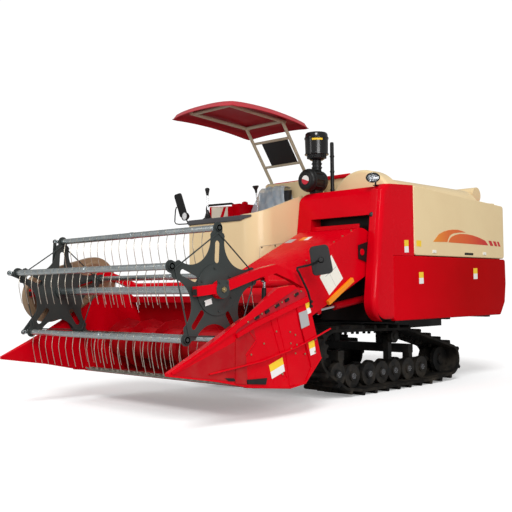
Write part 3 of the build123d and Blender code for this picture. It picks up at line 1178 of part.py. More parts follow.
# ---- export -----------------------------------------------------------------------
def build():
    """Every node by name."""
    left_loop, left_gear = track_loop(), track_gear()
    lift = (LIFT_FOOT, LIFT_EYE, LIFT_Y, LIFT_RADIUS, PIN)
    reel_lift = (REEL_LIFT_FOOT, REEL_LIFT_EYE, ARM_Y, REEL_LIFT_RADIUS, PIN / 2)
    parts = {
        "track_left": left_loop,
        "track_right": mirror_y(left_loop),
        "track_gear": Compound([left_gear, mirror_y(left_gear)]),
        "chassis_frame": chassis_frame(),
        "transmission": transmission(),
        "engine_block": engine_block(),
        "engine_hood": Compound([engine_hood(), cabinet()]),
        "thresher_body": thresher_body(),
        "drive_pulleys": drive_pulleys(),
        "left_door": left_door(),
        "left_lower_panel": left_lower_panel(),
        "left_front_shield": left_front_shield(),
        "front_shroud": front_shroud(),
        "roof_panel": roof_panel(),
        "drum_cover": drum_cover(),
        "rear_hood": rear_hood(),
        "grain_tank": Compound([grain_tank(), tank_rim()]),
        "right_panels": Compound([right_panels(), radiator_screen()]),
        "unloader_turret": unloader_turret(),
        "unloader_elbow": unloader_elbow(),
        "unloader_tube": unloader_tube(),
        "operator_deck": Compound([operator_deck(), handrail_and_step()]),
        "operator_fairing": operator_fairing(),
        "console": console(),
        "seat": seat(),
        "canopy_frame": canopy_frame(),
        "canopy": canopy(),
        "post_plate": post_plate(),
        "side_box": side_box(),
        "air_cleaner": Compound([air_filter(), precleaner()]),
        "exhaust_pipe": exhaust_pipe(),
        "control_levers": control_levers(),
        "side_mirror": side_mirror(),
        "work_lamp": work_lamp(),
        "feeder_house": feeder_house(),
        "safety_bar": safety_bar(),
        "header_trough": header_trough(),
        "header_ends": Compound([header_ends(), header_mirror()]),
        "knife_bar": knife_bar(),
        "header_auger": header_auger(),
        "reel_arms": Compound([reel_arms(), reel_guard()]),
        "reel_spiders": reel_spiders(),
        "reel_shaft": reel_shaft(),
        "lift_barrel": cylinder_barrel(*lift, BARREL_SHARE),
        "lift_rod": cylinder_rod(*lift, ROD_START),
        "reel_lift_barrel": cylinder_barrel(*reel_lift, REEL_BARREL_SHARE),
        "reel_lift_rod": cylinder_rod(*reel_lift, REEL_ROD_START),
        "control_ring": control_ring(),
    }
    for i in range(REEL_ARMS):
        parts[f"tine_bar_{i + 1}"] = tine_bar(i)
    return parts


def base_centre(parts):
    """Middle of the whole machine's box on the ground."""
    boxes = [shape.bounding_box() for shape in parts.values()]
    low = [min(getattr(box.min, axis) for box in boxes) for axis in "XYZ"]
    high = [max(getattr(box.max, axis) for box in boxes) for axis in "XYZ"]
    return (low[0] + high[0]) / 2, (low[1] + high[1]) / 2, low[2]


if __name__ == "__main__":
    os.makedirs("parts", exist_ok=True)
    nodes = build()
    x_mid, y_mid, ground = base_centre(nodes)
    for name, shape in nodes.items():
        export_step(Pos(-x_mid, -y_mid, -ground) * shape, f"parts/{name}.step")
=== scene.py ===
import json
import math
import bmesh
import bpy
from mathutils import Matrix, Vector


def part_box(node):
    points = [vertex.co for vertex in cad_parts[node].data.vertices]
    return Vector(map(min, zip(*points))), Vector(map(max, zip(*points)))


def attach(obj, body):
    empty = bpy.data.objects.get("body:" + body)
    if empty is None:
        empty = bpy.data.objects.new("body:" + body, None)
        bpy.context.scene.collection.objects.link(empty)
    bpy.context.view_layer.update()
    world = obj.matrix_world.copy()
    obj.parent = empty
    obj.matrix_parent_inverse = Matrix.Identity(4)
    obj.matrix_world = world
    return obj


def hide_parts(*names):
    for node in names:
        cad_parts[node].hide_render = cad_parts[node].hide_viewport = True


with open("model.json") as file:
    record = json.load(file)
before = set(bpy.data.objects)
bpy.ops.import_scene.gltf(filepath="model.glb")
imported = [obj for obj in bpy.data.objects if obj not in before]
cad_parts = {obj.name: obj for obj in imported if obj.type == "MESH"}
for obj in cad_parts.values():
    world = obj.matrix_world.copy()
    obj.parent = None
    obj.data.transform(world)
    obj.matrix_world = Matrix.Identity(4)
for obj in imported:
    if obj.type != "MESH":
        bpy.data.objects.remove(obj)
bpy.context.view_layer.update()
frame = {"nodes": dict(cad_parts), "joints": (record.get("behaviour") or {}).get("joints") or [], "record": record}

nodes = frame["nodes"]
joints = {joint["name"]: joint for joint in frame["joints"]}
bodyOf = {node: body for body, group in frame["record"]["behaviour"]["bodies"].items() for node in group}
slotOf = {part["node"]: part["material_slot"] for part in frame["record"]["subparts"]}
headerHinge = {"drawn": (650, 120, 1262)}  # the header's hinge as it is drawn, in millimetres
drawingZero = Vector(joints["header_lift"]["pos_m"]) - Vector(headerHinge["drawn"]) / 1000
# from the drawing's millimetres to the frame
toFrame = Matrix.Translation(drawingZero) @ Matrix.Scale(0.001, 4)
collection = bpy.context.scene.collection
print("frame loaded:", len(nodes), "nodes")


def drawn(point):  # a point of the frame, in metres, as the drawing has it
    return (Vector(point) - drawingZero) * 1000


# a socket of the shader, so that finishes read as sums
class Wire:
    def __init__(self, tree, out):
        self.tree, self.out = tree, out

    def math(self, operation, other, swap=False):
        node = self.tree.nodes.new("ShaderNodeMath")
        node.operation = operation
        pair = (other, self) if swap else (self, other)
        for socket, value in zip(node.inputs, pair):
            if isinstance(value, Wire):
                self.tree.links.new(value.out, socket)
            else:
                socket.default_value = value
        return Wire(self.tree, node.outputs[0])

    def __add__(self, other): return self.math("ADD", other)
    def __radd__(self, other): return self.math("ADD", other, True)
    def __mul__(self, other): return self.math("MULTIPLY", other)
    def __rmul__(self, other): return self.math("MULTIPLY", other, True)


class Tree:
    def __init__(self, tree):
        self.tree = tree

    def fill(self, socket, value):
        if isinstance(value, Wire):
            self.tree.links.new(value.out, socket)
        else:
            socket.default_value = (*value, 1) if isinstance(value, tuple) else value

    def node(self, kind, settings=None, output=0, **sockets):
        node = self.tree.nodes.new("ShaderNode" + kind)
        for key, value in (settings or {}).items():
            if key == "stops":
                ramp = node.color_ramp
                while len(ramp.elements) < len(value):
                    ramp.elements.new(0.5)
                for element, (place, colour) in zip(ramp.elements, value):
                    element.position, element.color = place, (*colour, 1)
            else:
                setattr(node, key, value)
        for key, value in sockets.items():
            self.fill(node.inputs[key.replace("_", " ")], value)
        return Wire(self.tree, node.outputs[output])

    def ray(self, kind):  # 1 for that kind of ray, 0 for the rest
        return self.node("LightPath", output=f"Is {kind} Ray")


class Finish(Tree):
    def __init__(self, name, **fixed):
        self.material = bpy.data.materials.new(name)
        self.material.use_nodes = True
        super().__init__(self.material.node_tree)
        self.feed(**fixed)

    def feed(self, **sockets):
        shader = self.tree.nodes["Principled BSDF"]
        for key, value in sockets.items():
            self.fill(shader.inputs[key.replace("_", " ")], value)
        return self.material

    def place(self):
        return self.node("TexCoord", output="Object")

    def along(self, axis):  # the place on one axis of the frame, 0 to 2
        return self.node("SeparateXYZ", output=axis, Vector=self.place())

    def noise(self, scale, detail=4, rough=0.5):
        return self.node("TexNoise", Vector=self.place(), Scale=scale, Detail=detail, Roughness=rough)

    def mix(self, factor, first, second):
        node = self.tree.nodes.new("ShaderNodeMix")
        node.data_type = "RGBA"
        for index, value in ((0, factor), (6, first), (7, second)):
            self.fill(node.inputs[index], value)
        return Wire(self.tree, node.outputs[2])

    def stretch(self, value, low, high, toLow=0.0, toHigh=1.0):  # clamps and rescales a value
        return self.node("MapRange", Value=value, From_Min=low, From_Max=high, To_Min=toLow, To_Max=toHigh)

    def blotch(self):  # large soft patches
        return self.stretch(self.noise(2.2, 3), 0.35, 0.7)

    def bump(self, value, strength, distance):
        return self.node("Bump", Height=value, Strength=strength, Distance=distance)

    def waves(self):  # the slight unevenness of large sheets
        return self.bump(self.noise(3.5, 1), 0.12, 0.008)


def grey(level):
    return (level, level, level)


def paint(name, colour, dark, gloss=0.3, coat=0.6, dust=0.25, dustTop=0.9, grain=0.0, shine=0.4, bend=1.5):
    made = Finish(name, Coat_Weight=coat, Coat_Roughness=0.1, Specular_IOR_Level=shine, IOR=bend)
    low = made.stretch(made.along(2), dustTop, 0.1)
    grime = made.stretch(made.noise(7, 6, 0.6), 0.42, 0.8) * low * dust
    tint = made.mix(grime, made.mix(made.blotch() * 0.6, colour, dark), (0.3, 0.24, 0.17))
    rough = made.stretch(made.noise(5, 3), 0.3, 0.7, gloss - 0.04, gloss + 0.08) + grime * 0.4
    skin = made.bump(made.noise(240, 2), grain, 0.0006) if grain else made.waves()
    return made.feed(Base_Color=tint, Roughness=rough, Normal=skin)


def metal(name, colour, dark, rough, scale=40):
    made = Finish(name, Metallic=1.0)
    patch = made.node("TexVoronoi", output="Distance", Vector=made.place(), Scale=scale)
    cloud = made.stretch(patch + made.noise(9, 6) * 0.8, 0.2, 1.1)
    worn = made.stretch(made.noise(18, 3), 0.3, 0.7, rough - 0.06, rough + 0.1)
    return made.feed(Base_Color=made.mix(cloud, colour, dark), Roughness=worn,
                     Normal=made.bump(cloud, 0.08, 0.0005))


def flat(name, colour, rough=0.45, coat=0.2):
    made = Finish(name, Roughness=rough, Coat_Weight=coat)
    speck = made.stretch(made.noise(60, 3), 0.35, 0.7) * 0.12
    return made.feed(Base_Color=made.mix(speck, colour, tuple(part * 0.7 for part in colour)))


def glass(name, colour, rough, clear):
    made = Finish(name, Base_Color=colour, Transmission_Weight=clear, IOR=1.45)
    return made.feed(Roughness=made.stretch(made.noise(30, 4), 0.3, 0.7, rough, rough + 0.08))


def film(name):  # thin clear cover over the seat
    made = Finish(name, Transmission_Weight=0.55, IOR=1.2, Specular_IOR_Level=0.7)
    crease = made.noise(14, 4, 0.6)
    tint = made.mix(made.stretch(crease, 0.35, 0.65), (0.62, 0.74, 0.86), (0.86, 0.92, 0.97))
    return made.feed(Base_Color=tint, Normal=made.bump(crease, 0.5, 0.01),
                     Roughness=made.stretch(crease, 0.3, 0.7, 0.08, 0.25))


def sunset(name):  # foil whose orange turns red towards the rear of the door
    made = Finish(name, Roughness=0.3, Coat_Weight=0.3)
    along = made.stretch(made.along(0), drawingZero.x - 0.3, drawingZero.x - 1.6)
    stops = ((0.0, (0.85, 0.3, 0.02)), (0.22, (0.76, 0.15, 0.015)), (0.5, (0.74, 0.1, 0.01)),
             (0.8, (0.6, 0.01, 0.01)))
    return made.feed(Base_Color=made.node("ValToRGB", {"stops": stops}, Fac=along))


def redWithPaintedShade(name):  # red with painted shade that grows deeper towards the rear of the lower panel
    made = Finish(name, Roughness=0.24, Coat_Weight=0.04, Coat_Roughness=0.1, Specular_IOR_Level=0.1, IOR=1.2)
    patches = made.blotch() * 0.5
    # the front's lit red, and towards the rear a darker red as painted shade
    litRed = made.mix(patches, (0.64, 0.0, 0.006), (0.55, 0.0, 0.004))
    deep = made.mix(patches, (0.44, 0.0, 0.001), (0.34, 0.0, 0.001))
    along = made.stretch(made.along(0), drawingZero.x + 0.1, drawingZero.x - 1.0)
    return made.feed(Base_Color=made.mix(along, litRed, deep), Normal=made.waves())


# a paint's numbers: its colour and darker patches, gloss, coat, dust, how high dust lies, grain, shine, bend
finishes = {
    "red": paint("paintRed", (0.66, 0.0, 0.008), (0.55, 0.0, 0.006), 0.24, 0.1, 0.05, 0.6, 0.0, 0.2, 1.25),
    "panelRedPaintedShade": redWithPaintedShade("paintPanelRedPaintedShade"),
    "deepRed": paint("paintDeepRed", (0.46, 0.0, 0.006), (0.36, 0.0, 0.004), 0.34, 0.12, 0.2, 0.8, 0.0, 0.15),
    "maroon": paint("paintMaroon", (0.42, 0.01, 0.02), (0.3, 0.006, 0.014), 0.6, 0.0, 0.0, 0.9, 0.0, 0.2),
    "canopyRed": paint("paintCanopy", (0.56, 0.03, 0.045), (0.48, 0.024, 0.036), 0.4, 0.2, 0.0),
    "beige": paint("paintBeige", (0.83, 0.65, 0.37), (0.78, 0.59, 0.33), 0.36, 0.2, 0.06, 0.8, 0.0, 0.25),
    "pale": paint("paintPale", (0.9, 0.83, 0.68), (0.84, 0.76, 0.6), 0.45, 0.2, 0.1),
    "frameBeige": paint("paintFrameBeige", (0.55, 0.48, 0.34), (0.46, 0.39, 0.28), 0.5, 0.1, 0.0),
    "black": paint("paintBlack", grey(0.008), grey(0.005), 0.5, 0.05, 0.16, 0.9, 0.04, 0.25),
    "blackPlastic": paint("plasticBlack", grey(0.009), grey(0.006), 0.42, 0.05, 0.05, 0.9, 0.08, 0.35),
    "blackGloss": paint("plasticGloss", grey(0.01), grey(0.006), 0.2, 0.4, 0.03),
    "greyPlastic": paint("plasticGrey", (0.075, 0.075, 0.08), (0.055, 0.055, 0.06), 0.5, 0.0, 0.1, 1.0, 0.1,
                         0.3),
    "rubber": paint("rubberTrack", grey(0.006), (0.009, 0.008, 0.007), 0.75, 0.0, 0.16, 0.9, 0.15, 0.15),
    "spider": paint("paintSpider", (0.035, 0.042, 0.04), (0.026, 0.032, 0.031), 0.42, 0.15, 0.08, 1.2, 0.05,
                    0.35),
    "orange": paint("paintOrange", (0.92, 0.3, 0.005), (0.85, 0.24, 0.004), 0.35, 0.2, 0.1),
    "guard": paint("paintGuard", (0.33, 0.22, 0.13), (0.24, 0.15, 0.085), 0.5, 0.1, 0.2, 1.4),
    "seat": paint("seatVinyl", (0.015, 0.015, 0.017), (0.02, 0.02, 0.023), 0.55, 0.0, 0.0, 1.0, 0.3, 0.3),
    "zinc": metal("steelGalvanised", (0.74, 0.79, 0.8), (0.6, 0.66, 0.67), 0.26, 22),
    "wire": metal("steelTine", (0.86, 0.82, 0.72), (0.6, 0.55, 0.46), 0.36),
    "knife": metal("steelKnife", (0.62, 0.64, 0.56), (0.42, 0.44, 0.38), 0.45, 70),
    "chrome": metal("steelPolished", (0.85, 0.86, 0.88), (0.75, 0.76, 0.78), 0.14),
    "brassy": metal("zincYellow", (0.72, 0.6, 0.32), (0.5, 0.42, 0.24), 0.35),
    "mirrorGlass": metal("mirrorGlass", (0.85, 0.87, 0.88), (0.8, 0.82, 0.83), 0.04, 5),
    "labelWhite": flat("labelWhite", (0.86, 0.85, 0.82)),
    "labelYellow": flat("labelYellow", (0.95, 0.62, 0.02)),
    "labelGrey": flat("labelGrey", grey(0.42), 0.35),
    "labelRed": flat("labelRed", (0.6, 0.01, 0.03)),
    "labelCream": flat("labelCream", (0.9, 0.88, 0.78)),
    "shade": flat("shadeBlack", grey(0.006), 0.8, 0.0),
    "sunset": sunset("stripeFoil"),
    "film": film("seatFilm"),
    "lampGlass": glass("lampGlass", (0.95, 0.97, 1.0), 0.03, 1.0),
    "lensWhite": glass("lensWhite", grey(0.95), 0.2, 0.3),
}
slotFinish = {
    "track_rubber": "rubber", "gear_black": "black", "frame_black": "black", "body_red": "red",
    "hood_red": "deepRed", "beige": "beige", "panel_pale": "pale", "dark_plastic": "blackPlastic",
    "seat_cover": "seat", "canopy_red": "red", "galvanised": "zinc", "bright_rod": "chrome",
    "spider_grey": "spider", "orange": "orange", "knife_grey": "knife", "trough_red": "deepRed",
    "mirror_black": "blackPlastic",
}
nodeFinish = {
    # thresher_body is black as painted shade in the slot under the shroud, where it shows
    "engine_hood": "beige", "thresher_body": "black", "canopy_frame": "frameBeige", "side_box": "red",
    "post_plate": "blackPlastic", "console": "greyPlastic", "exhaust_pipe": "blackPlastic",
    # the lower left panel takes the red with painted shade towards its rear
    "header_ends": "red", "left_lower_panel": "panelRedPaintedShade", "reel_arms": "red", "reel_shaft": "zinc",
}


def finishOf(node):
    return finishes[nodeFinish.get(node, slotFinish[slotOf[node]])]


def facing(direction):
    return Vector(direction).to_track_quat("Z", "Y").to_matrix().to_4x4()


def vertsOf(geometry):
    return [item for item in geometry if isinstance(item, bmesh.types.BMVert)]


def ring(x, y, radius, count, start=0.0):  # points spread evenly round a centre
    angles = [start + 2 * math.pi * step / count for step in range(count)]
    return [(x + radius * math.cos(angle), y + radius * math.sin(angle)) for angle in angles]


def written(work, name, angle=35):  # the mesh, smooth but for edges that are steeper than the angle
    for face in work.faces:
        face.smooth = True
    for edge in work.edges:
        edge.smooth = edge.is_manifold and edge.calc_face_angle(9) < math.radians(angle)
    mesh = bpy.data.meshes.new(name)
    work.to_mesh(mesh)
    work.free()
    return mesh


def meshPiece(mesh, body, slot, *materials, edge=0.0, angle=35, instead=()):
    piece = bpy.data.objects.new(mesh.name, mesh)
    collection.objects.link(piece)
    for material in materials:
        mesh.materials.append(material)
    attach(piece, body)
    if edge:
        bevel = piece.modifiers.new("edge", "BEVEL")
        bevel.width, bevel.segments, bevel.limit_method = edge, 2, "ANGLE"
        bevel.angle_limit, bevel.harden_normals = math.radians(angle), True
    if instead:
        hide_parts(*instead)
    return piece


# a piece in the making, in the drawing's millimetres
class Shape:
    def __init__(self):
        self.mesh = bmesh.new()

    def tube(self, start, end, radius, sides=20, tip=None):
        start, end = Vector(start), Vector(end)
        place = Matrix.Translation((start + end) / 2) @ facing(end - start)
        bmesh.ops.create_cone(self.mesh, cap_ends=True, segments=sides, radius1=radius, matrix=place,
                              radius2=radius if tip is None else tip, depth=(end - start).length)
        return self

    def peg(self, x, y, z, reach, radius, sides=20):  # a tube along y
        return self.tube((x, y, z), (x, y + reach, z), radius, sides)

    def box(self, low, high, turn=Matrix.Identity(4)):
        low, high = Vector(low), Vector(high)
        place = Matrix.Translation((low + high) / 2) @ turn
        bmesh.ops.create_cube(self.mesh, size=1, matrix=place @ Matrix.Diagonal((*(high - low), 1)))
        return self

    def plate(self, outline, thick):
        face = self.mesh.faces.new([self.mesh.verts.new(point) for point in outline])
        grown = bmesh.ops.extrude_face_region(self.mesh, geom=[face])["geom"]
        bmesh.ops.translate(self.mesh, vec=thick, verts=vertsOf(grown))
        return self

    def sheet(self, outline, y, thick):  # a plate on a side wall, from its outline in x and z
        return self.plate([(x, y, z) for x, z in outline], (0, thick, 0))

    def wire(self, points, radius, sides=8):
        points = [Vector(point) for point in points]
        rings = []
        for before, point, after in zip(points[:1] + points, points, points[1:] + points[-1:]):
            across = Matrix.Translation(point) @ facing(after - before)
            circle = bmesh.ops.create_circle(self.mesh, cap_ends=False, segments=sides, radius=radius,
                                             matrix=across)["verts"]
            rings.append(list({edge for vert in circle for edge in vert.link_edges}))
        for first, second in zip(rings, rings[1:]):
            bmesh.ops.bridge_loops(self.mesh, edges=first + second)
        for end in (rings[0], rings[-1]):
            bmesh.ops.edgeloop_fill(self.mesh, edges=end)
        return self

    def turned(self, profile, origin, axis, sides=40):  # profile: distance along the axis, radius
        place = Matrix.Translation(origin) @ facing(axis)
        verts = [self.mesh.verts.new(place @ Vector((radius, 0, along))) for along, radius in profile]
        edges = [self.mesh.edges.new(pair) for pair in zip(verts, verts[1:])]
        bmesh.ops.spin(self.mesh, geom=verts + edges, cent=origin, axis=Vector(axis).normalized(),
                       angle=2 * math.pi, steps=sides, use_merge=True)
        return self

    def roundAlongX(self, radius, segments):  # rounds the edges that run along x
        edges = [edge for edge in self.mesh.edges
                 if abs((edge.verts[0].co - edge.verts[1].co).normalized().x) > 0.9]
        bmesh.ops.bevel(self.mesh, geom=edges, offset=radius, offset_type="OFFSET", segments=segments,
                        profile=0.5, affect="EDGES", material=-1)
        return self

    def place(self, matrix):
        bmesh.ops.transform(self.mesh, matrix=matrix, verts=self.mesh.verts)
        return self

    def repeat(self, count, pitch):  # copies of all that is there, along y
        first = list(self.mesh.verts) + list(self.mesh.edges) + list(self.mesh.faces)
        for step in range(1, count):
            copy = bmesh.ops.duplicate(self.mesh, geom=first)["geom"]
            bmesh.ops.translate(self.mesh, vec=(0, pitch * step, 0), verts=vertsOf(copy))
        return self

    def piece(self, name, node, finish, edge=0.0, instead=(), angle=35):
        bmesh.ops.remove_doubles(self.mesh, verts=self.mesh.verts, dist=0.02)
        bmesh.ops.recalc_face_normals(self.mesh, faces=self.mesh.faces)
        mesh = written(self.place(toFrame).mesh, name, angle)
        return meshPiece(mesh, bodyOf[node], slotOf[node], finishes[finish], edge=edge, angle=angle,
                         instead=instead)


# parts of a node in a finish of their own: which points belong to them, the finish
ownFinish = {"reel_arms": (lambda at: at.y < -985.6, "guard"), "grain_tank": (lambda at: at.x > -4.8, "red")}


def softCopy(node, edge, drop=None):  # a merged copy of the node with soft edges
    work = bmesh.new()
    work.from_mesh(nodes[node].data)
    bmesh.ops.remove_doubles(work, verts=work.verts, dist=0.00002)
    if drop:
        bmesh.ops.delete(work, geom=[vert for vert in work.verts if drop(drawn(vert.co))], context="VERTS")
    bmesh.ops.dissolve_limit(work, angle_limit=math.radians(1.2), verts=work.verts, edges=work.edges)
    materials = [finishOf(node)]
    if node in ownFinish:
        inside, other = ownFinish[node]
        materials.append(finishes[other])
        for face in work.faces:
            face.material_index = int(all(inside(drawn(vert.co)) for vert in face.verts))
    mesh = written(work, node + "Skin")
    return meshPiece(mesh, bodyOf[node], slotOf[node], *materials, edge=edge, instead=(node,))


edgeWidths = {
    "left_door": 0.0, "left_lower_panel": 0.0, "left_front_shield": 0.0, "front_shroud": 0.006,
    "roof_panel": 0.004, "drum_cover": 0.008, "rear_hood": 0.006, "grain_tank": 0.02, "right_panels": 0.006,
    "engine_hood": 0.012, "thresher_body": 0.004, "feeder_house": 0.004, "header_trough": 0.0015,
    "chassis_frame": 0.005, "transmission": 0.004, "engine_block": 0.01, "operator_deck": 0.0,
    "console": 0.012, "safety_bar": 0.003, "reel_arms": 0.004, "reel_spiders": 0.0018,
    "operator_fairing": 0.008, "header_auger": 0.0, "track_gear": 0.003,
}
replacedNodes = {"canopy", "air_cleaner", "exhaust_pipe", "control_levers", "side_mirror", "work_lamp",
                 "header_ends", "seat", "knife_bar"} | {f"tine_bar_{number}" for number in range(1, 6)}
for node in nodes:
    if node in edgeWidths:
        softCopy(node, edgeWidths[node])
    elif node not in replacedNodes:
        nodes[node].data.materials.clear()
        nodes[node].data.materials.append(finishOf(node))
print("panels softened")

tines = {"pitch": 98, "count": 20, "wire": 2.7, "tube": 23.5, "left": 1109, "right": -886, "collar": 26.5,
         "middle": 110.5,
         "bow": ((3, -14), (11, -40), (17, -75), (18, -108), (12, -146), (4, -186), (-5, -224), (-12, -252))}


def makeTineBars(pitch, count, wire, tube, left, right, collar, middle, bow):
    for number in range(1, 6):
        node = f"tine_bar_{number}"
        x, z = drawn(joints[node + "_turn"]["pos_m"]).xz
        bar = Shape().peg(x, right, z, left - right, tube, 28)
        bar.peg(x, 98, z, 25, collar, 28)  # joint ring
        bar.box((x - 13, -889, z - 13), (x + 76, -880, z + 13)).peg(x + 62, -902, z, 22, 8, 16)
        bar.piece(f"tineTube{number}", node, "zinc", 0.0006, (node,))
        clamps = Shape().peg(x, left - 34, z, 34, collar).peg(x, left, z, 1.5, 14, 6)
        clamps.peg(x, right + 3, z, 31, collar).piece(f"tineClamps{number}", node, "spider", 0.001)
        first = middle - (count - 1) * pitch / 2
        wires = Shape().wire([(x + dx, first, z + dz) for dx, dz in bow], wire, 7)
        wires.peg(x, first - 3, z, 6, tube + 0.7, 18).repeat(count, pitch)
        wires.piece(f"tineWires{number}", node, "wire")


makeTineBars(**tines)
print("tine bars made")

reelX, reelZ = drawn(joints["reel_spin"]["pos_m"]).xz
hub = {"radius": 178, "left": 1097, "thick": 5, "bolts": 6, "boltRing": 150, "labelTilt": 14}
reelBearings = {"faces": ((1162, 1), (-986, -1)), "plate": 60, "bolts": ((-38, 50), (38, 50)), "nut": 21}


def makeHubDiscs(radius, left, thick, bolts, boltRing, labelTilt):
    disc = Shape().turned(((0, 34), (0, 120), (-5, 126), (-5, radius - 6), (0, radius), (thick, radius),
                           (thick, 128), (9, 120), (9, 34), (0, 34)), (reelX, left, reelZ), (0, 1, 0), 56)
    for x, z in ring(reelX, reelZ, boltRing, bolts, 0.4):
        disc.peg(x, left, z, 12, 9, 6)
    disc.piece("reelHubDisc", "reel_spiders", "spider", 0.0012)
    label = Shape().box((reelX + 52, left + 9.2, reelZ - 104), (reelX + 116, left + 11, reelZ - 66),
                        Matrix.Rotation(math.radians(labelTilt), 4, "Y"))
    label.piece("reelHubLabel", "reel_spiders", "labelWhite")


def makeReelArmFittings(faces, plate, bolts, nut):
    plates, nuts, ends = Shape(), Shape(), Shape()
    for y, side in faces:
        plates.peg(reelX, y, reelZ, 7 * side, plate, 40)
        low, high = sorted((y, y + 8 * side))
        plates.box((reelX - 52, low, reelZ - 10), (reelX + 52, high, reelZ + 66))
        for dx, dz in bolts:
            plates.peg(reelX + dx, y + 6 * side, reelZ + dz, 10 * side, 9, 6)
        nuts.peg(reelX, y + 7 * side, reelZ, 12 * side, nut, 6)
        nuts.peg(reelX, y + 17 * side, reelZ, 12 * side, 12)
    for y in (1120, -980):  # the open ends of the square tubes
        ends.box((2829, y, 906), (2837, y + 36, 948))
    plates.piece("reelBearings", "reel_arms", "spider", 0.0015)
    nuts.piece("reelShaftNuts", "reel_arms", "brassy", 0.0015)
    ends.piece("reelArmEnds", "reel_arms", "shade")


# the end plate's pressed sheets: outline in x and z, how far they stand out
# the nose's sheets get a darker red as painted shade on their facets
noseSheets = (
    (((3080, 405), (2535, 588), (2537, 312), (2693, 343)), 3),
    (((2528, 606), (2432, 660), (2440, 470), (2426, 287), (2537, 306)), 7),
    (((2417, 676), (2350, 668), (2322, 584), (2428, 486), (2414, 300), (2440, 300), (2440, 660)), 3.5),
)
endSheets = (
    (((2113, 744), (2018, 458), (1985, 236), (1830, 240), (1758, 354), (1862, 642), (1922, 800)), 5),
    (((1902, 806), (1846, 642), (1742, 354), (1818, 246), (1630, 424), (1684, 606), (1726, 736),
      (1784, 868)), 10),
    (((2531, 636), (2346, 714), (1789, 883), (1766, 848), (2347, 676), (2522, 612)), 22),
    (((1926, 972), (2106, 951), (2700, 596), (3095, 425), (3088, 409), (2535, 654), (2512, 671),
      (1905, 944)), 9),
    (((1622, 420), (1815, 238), (1975, 219), (2181, 238), (2420, 266), (2420, 276), (2181, 250), (1975, 232),
      (1822, 250), (1634, 426)), 13),
)
# the end plate's bolts: x and z, how far the sheet under them stands out
endBolts = ((1979, 630, 5), (1922, 606, 5), (1973, 547, 5), (1907, 533, 5), (1966, 508, 5), (1923, 471, 5),
            (1822, 461, 10), (2379, 491, 0), (1706, 470, 10), (1700, 560, 10), (2120, 640, 0), (2250, 560, 0),
            (2060, 330, 0), (2330, 300, 0))
header = {"face": 1200, "folds": ((2417, 673), (2329, 584), (2433, 486)),
          "channel": ((2512, 670), (1905, 943), (1801, 921), (1791, 882), (2346, 716), (2524, 640)),
          "slots": ((((2430, 321), (2224, 316), (2238, 271), (2418, 290)), 9),
                    (((2636, 350), (2548, 343), (2524, 318), (2600, 326)), 5)),
          "tieRod": ((2776, 9, 386), (2557, 16, 409), (2284, 18, 438), (1930, 20, 510), (1718, 20, 573),
                     (1526, 20, 635)),
          "reflector": ((1885, 765), (1792, 786), (1764, 672), (1856, 647)), "reflectorOut": 10}


def makeHeaderEnds(face, folds, channel, slots, tieRod, reflector, reflectorOut):
    softCopy("header_ends", 0.003, lambda at: at.y > 1200.1 or at.z > 985)
    nose, end = Shape(), Shape()
    for sheets, shape in ((noseSheets, nose), (endSheets, end)):
        for outline, out in sheets:
            shape.sheet(outline, face - 0.5, out + 0.5)
    for (x0, z0), (x1, z1) in zip(folds, folds[1:]):
        end.tube((x0, face + 3, z0), (x1, face + 3, z1), 5, 10)
    # darker red as painted shade on the nose's facets
    nose.piece("headerNoseSheetsPaintedShade", "header_ends", "deepRed", 0.003)
    end.piece("headerEndSheets", "header_ends", "red", 0.003)
    # the channel under the flange is maroon as painted shadow
    Shape().sheet(channel, face, 1.5).piece("headerEndChannelPaintedShadow", "header_ends", "maroon")
    dark = Shape()  # slots of the knife drive, and the channel's brackets
    for outline, out in slots:
        dark.sheet(outline, face, out)
    for step in range(5):
        x, z = 1900 + 105 * step, 902 - 39 * step
        dark.box((x - 22, face, z - 10), (x + 22, face + 12, z + 10), Matrix.Rotation(0.42, 4, "Y"))
    dark.piece("headerEndSlots", "header_ends", "blackPlastic", 0.0015)
    bolts = Shape()
    for x, z, out in endBolts:
        bolts.peg(x, face + out, z, 7, 7.5, 6)
    for step in range(9):  # along the channel
        bolts.peg(1850 + 70 * step, face + 1, 926 - 26 * step, 9, 8, 6)
    bolts.piece("headerEndBolts", "header_ends", "brassy", 0.001)
    rod = Shape().wire([(x, face + out, z) for x, out, z in tieRod], 6.5, 10)
    rod.piece("headerTieRod", "header_ends", "red")
    plate = Shape().sheet(reflector, face + reflectorOut, 4)
    plate.piece("headerReflector", "header_ends", "labelGrey", 0.001)


# blank labels, yellow above and white below: the four corners from the upper left, the surface's y, the node
blankLabels = (
    (((2199, 404), (2057, 451), (2032, 348), (2169, 304)), 1200, "header_ends"),
    (((1779, 541), (1713, 557), (1693, 456), (1755, 442)), 1210, "header_ends"),
    (((1808, 836), (1766, 846), (1742, 765), (1784, 752)), 1210, "header_ends"),
    (((175, 1378), (109, 1382), (107, 1268), (173, 1264)), 1000, "left_lower_panel"),
    (((-57, 1087), (-131, 1089), (-133, 981), (-59, 978)), 1000, "left_lower_panel"),
    (((-1061, 1135), (-1140, 1137), (-1142, 1026), (-1063, 1024)), 1000, "left_lower_panel"),
)
wideLabel = {"corners": ((-23, 1385), (-105, 1383), (-103, 1326), (-25, 1328)), "y": 1000}


def makeBlankLabels(rows):
    lift, thick = 0.2, 1.3
    for number, (corners, y, node) in enumerate(rows, 1):
        upLeft, upRight, lowRight, lowLeft = (Vector(corner) for corner in corners)
        left, right = (upLeft + lowLeft) / 2, (upRight + lowRight) / 2
        for name, finish, outline in (("Top", "labelYellow", (upLeft, upRight, right, left)),
                                      ("Low", "labelWhite", (left, right, lowRight, lowLeft))):
            Shape().sheet(outline, y + lift, thick).piece(f"blankLabel{name}{number}", node, finish)
    wide = Shape().sheet(wideLabel["corners"], wideLabel["y"] + lift, thick)
    wide.piece("panelLabelWide", "left_lower_panel", "labelYellow")


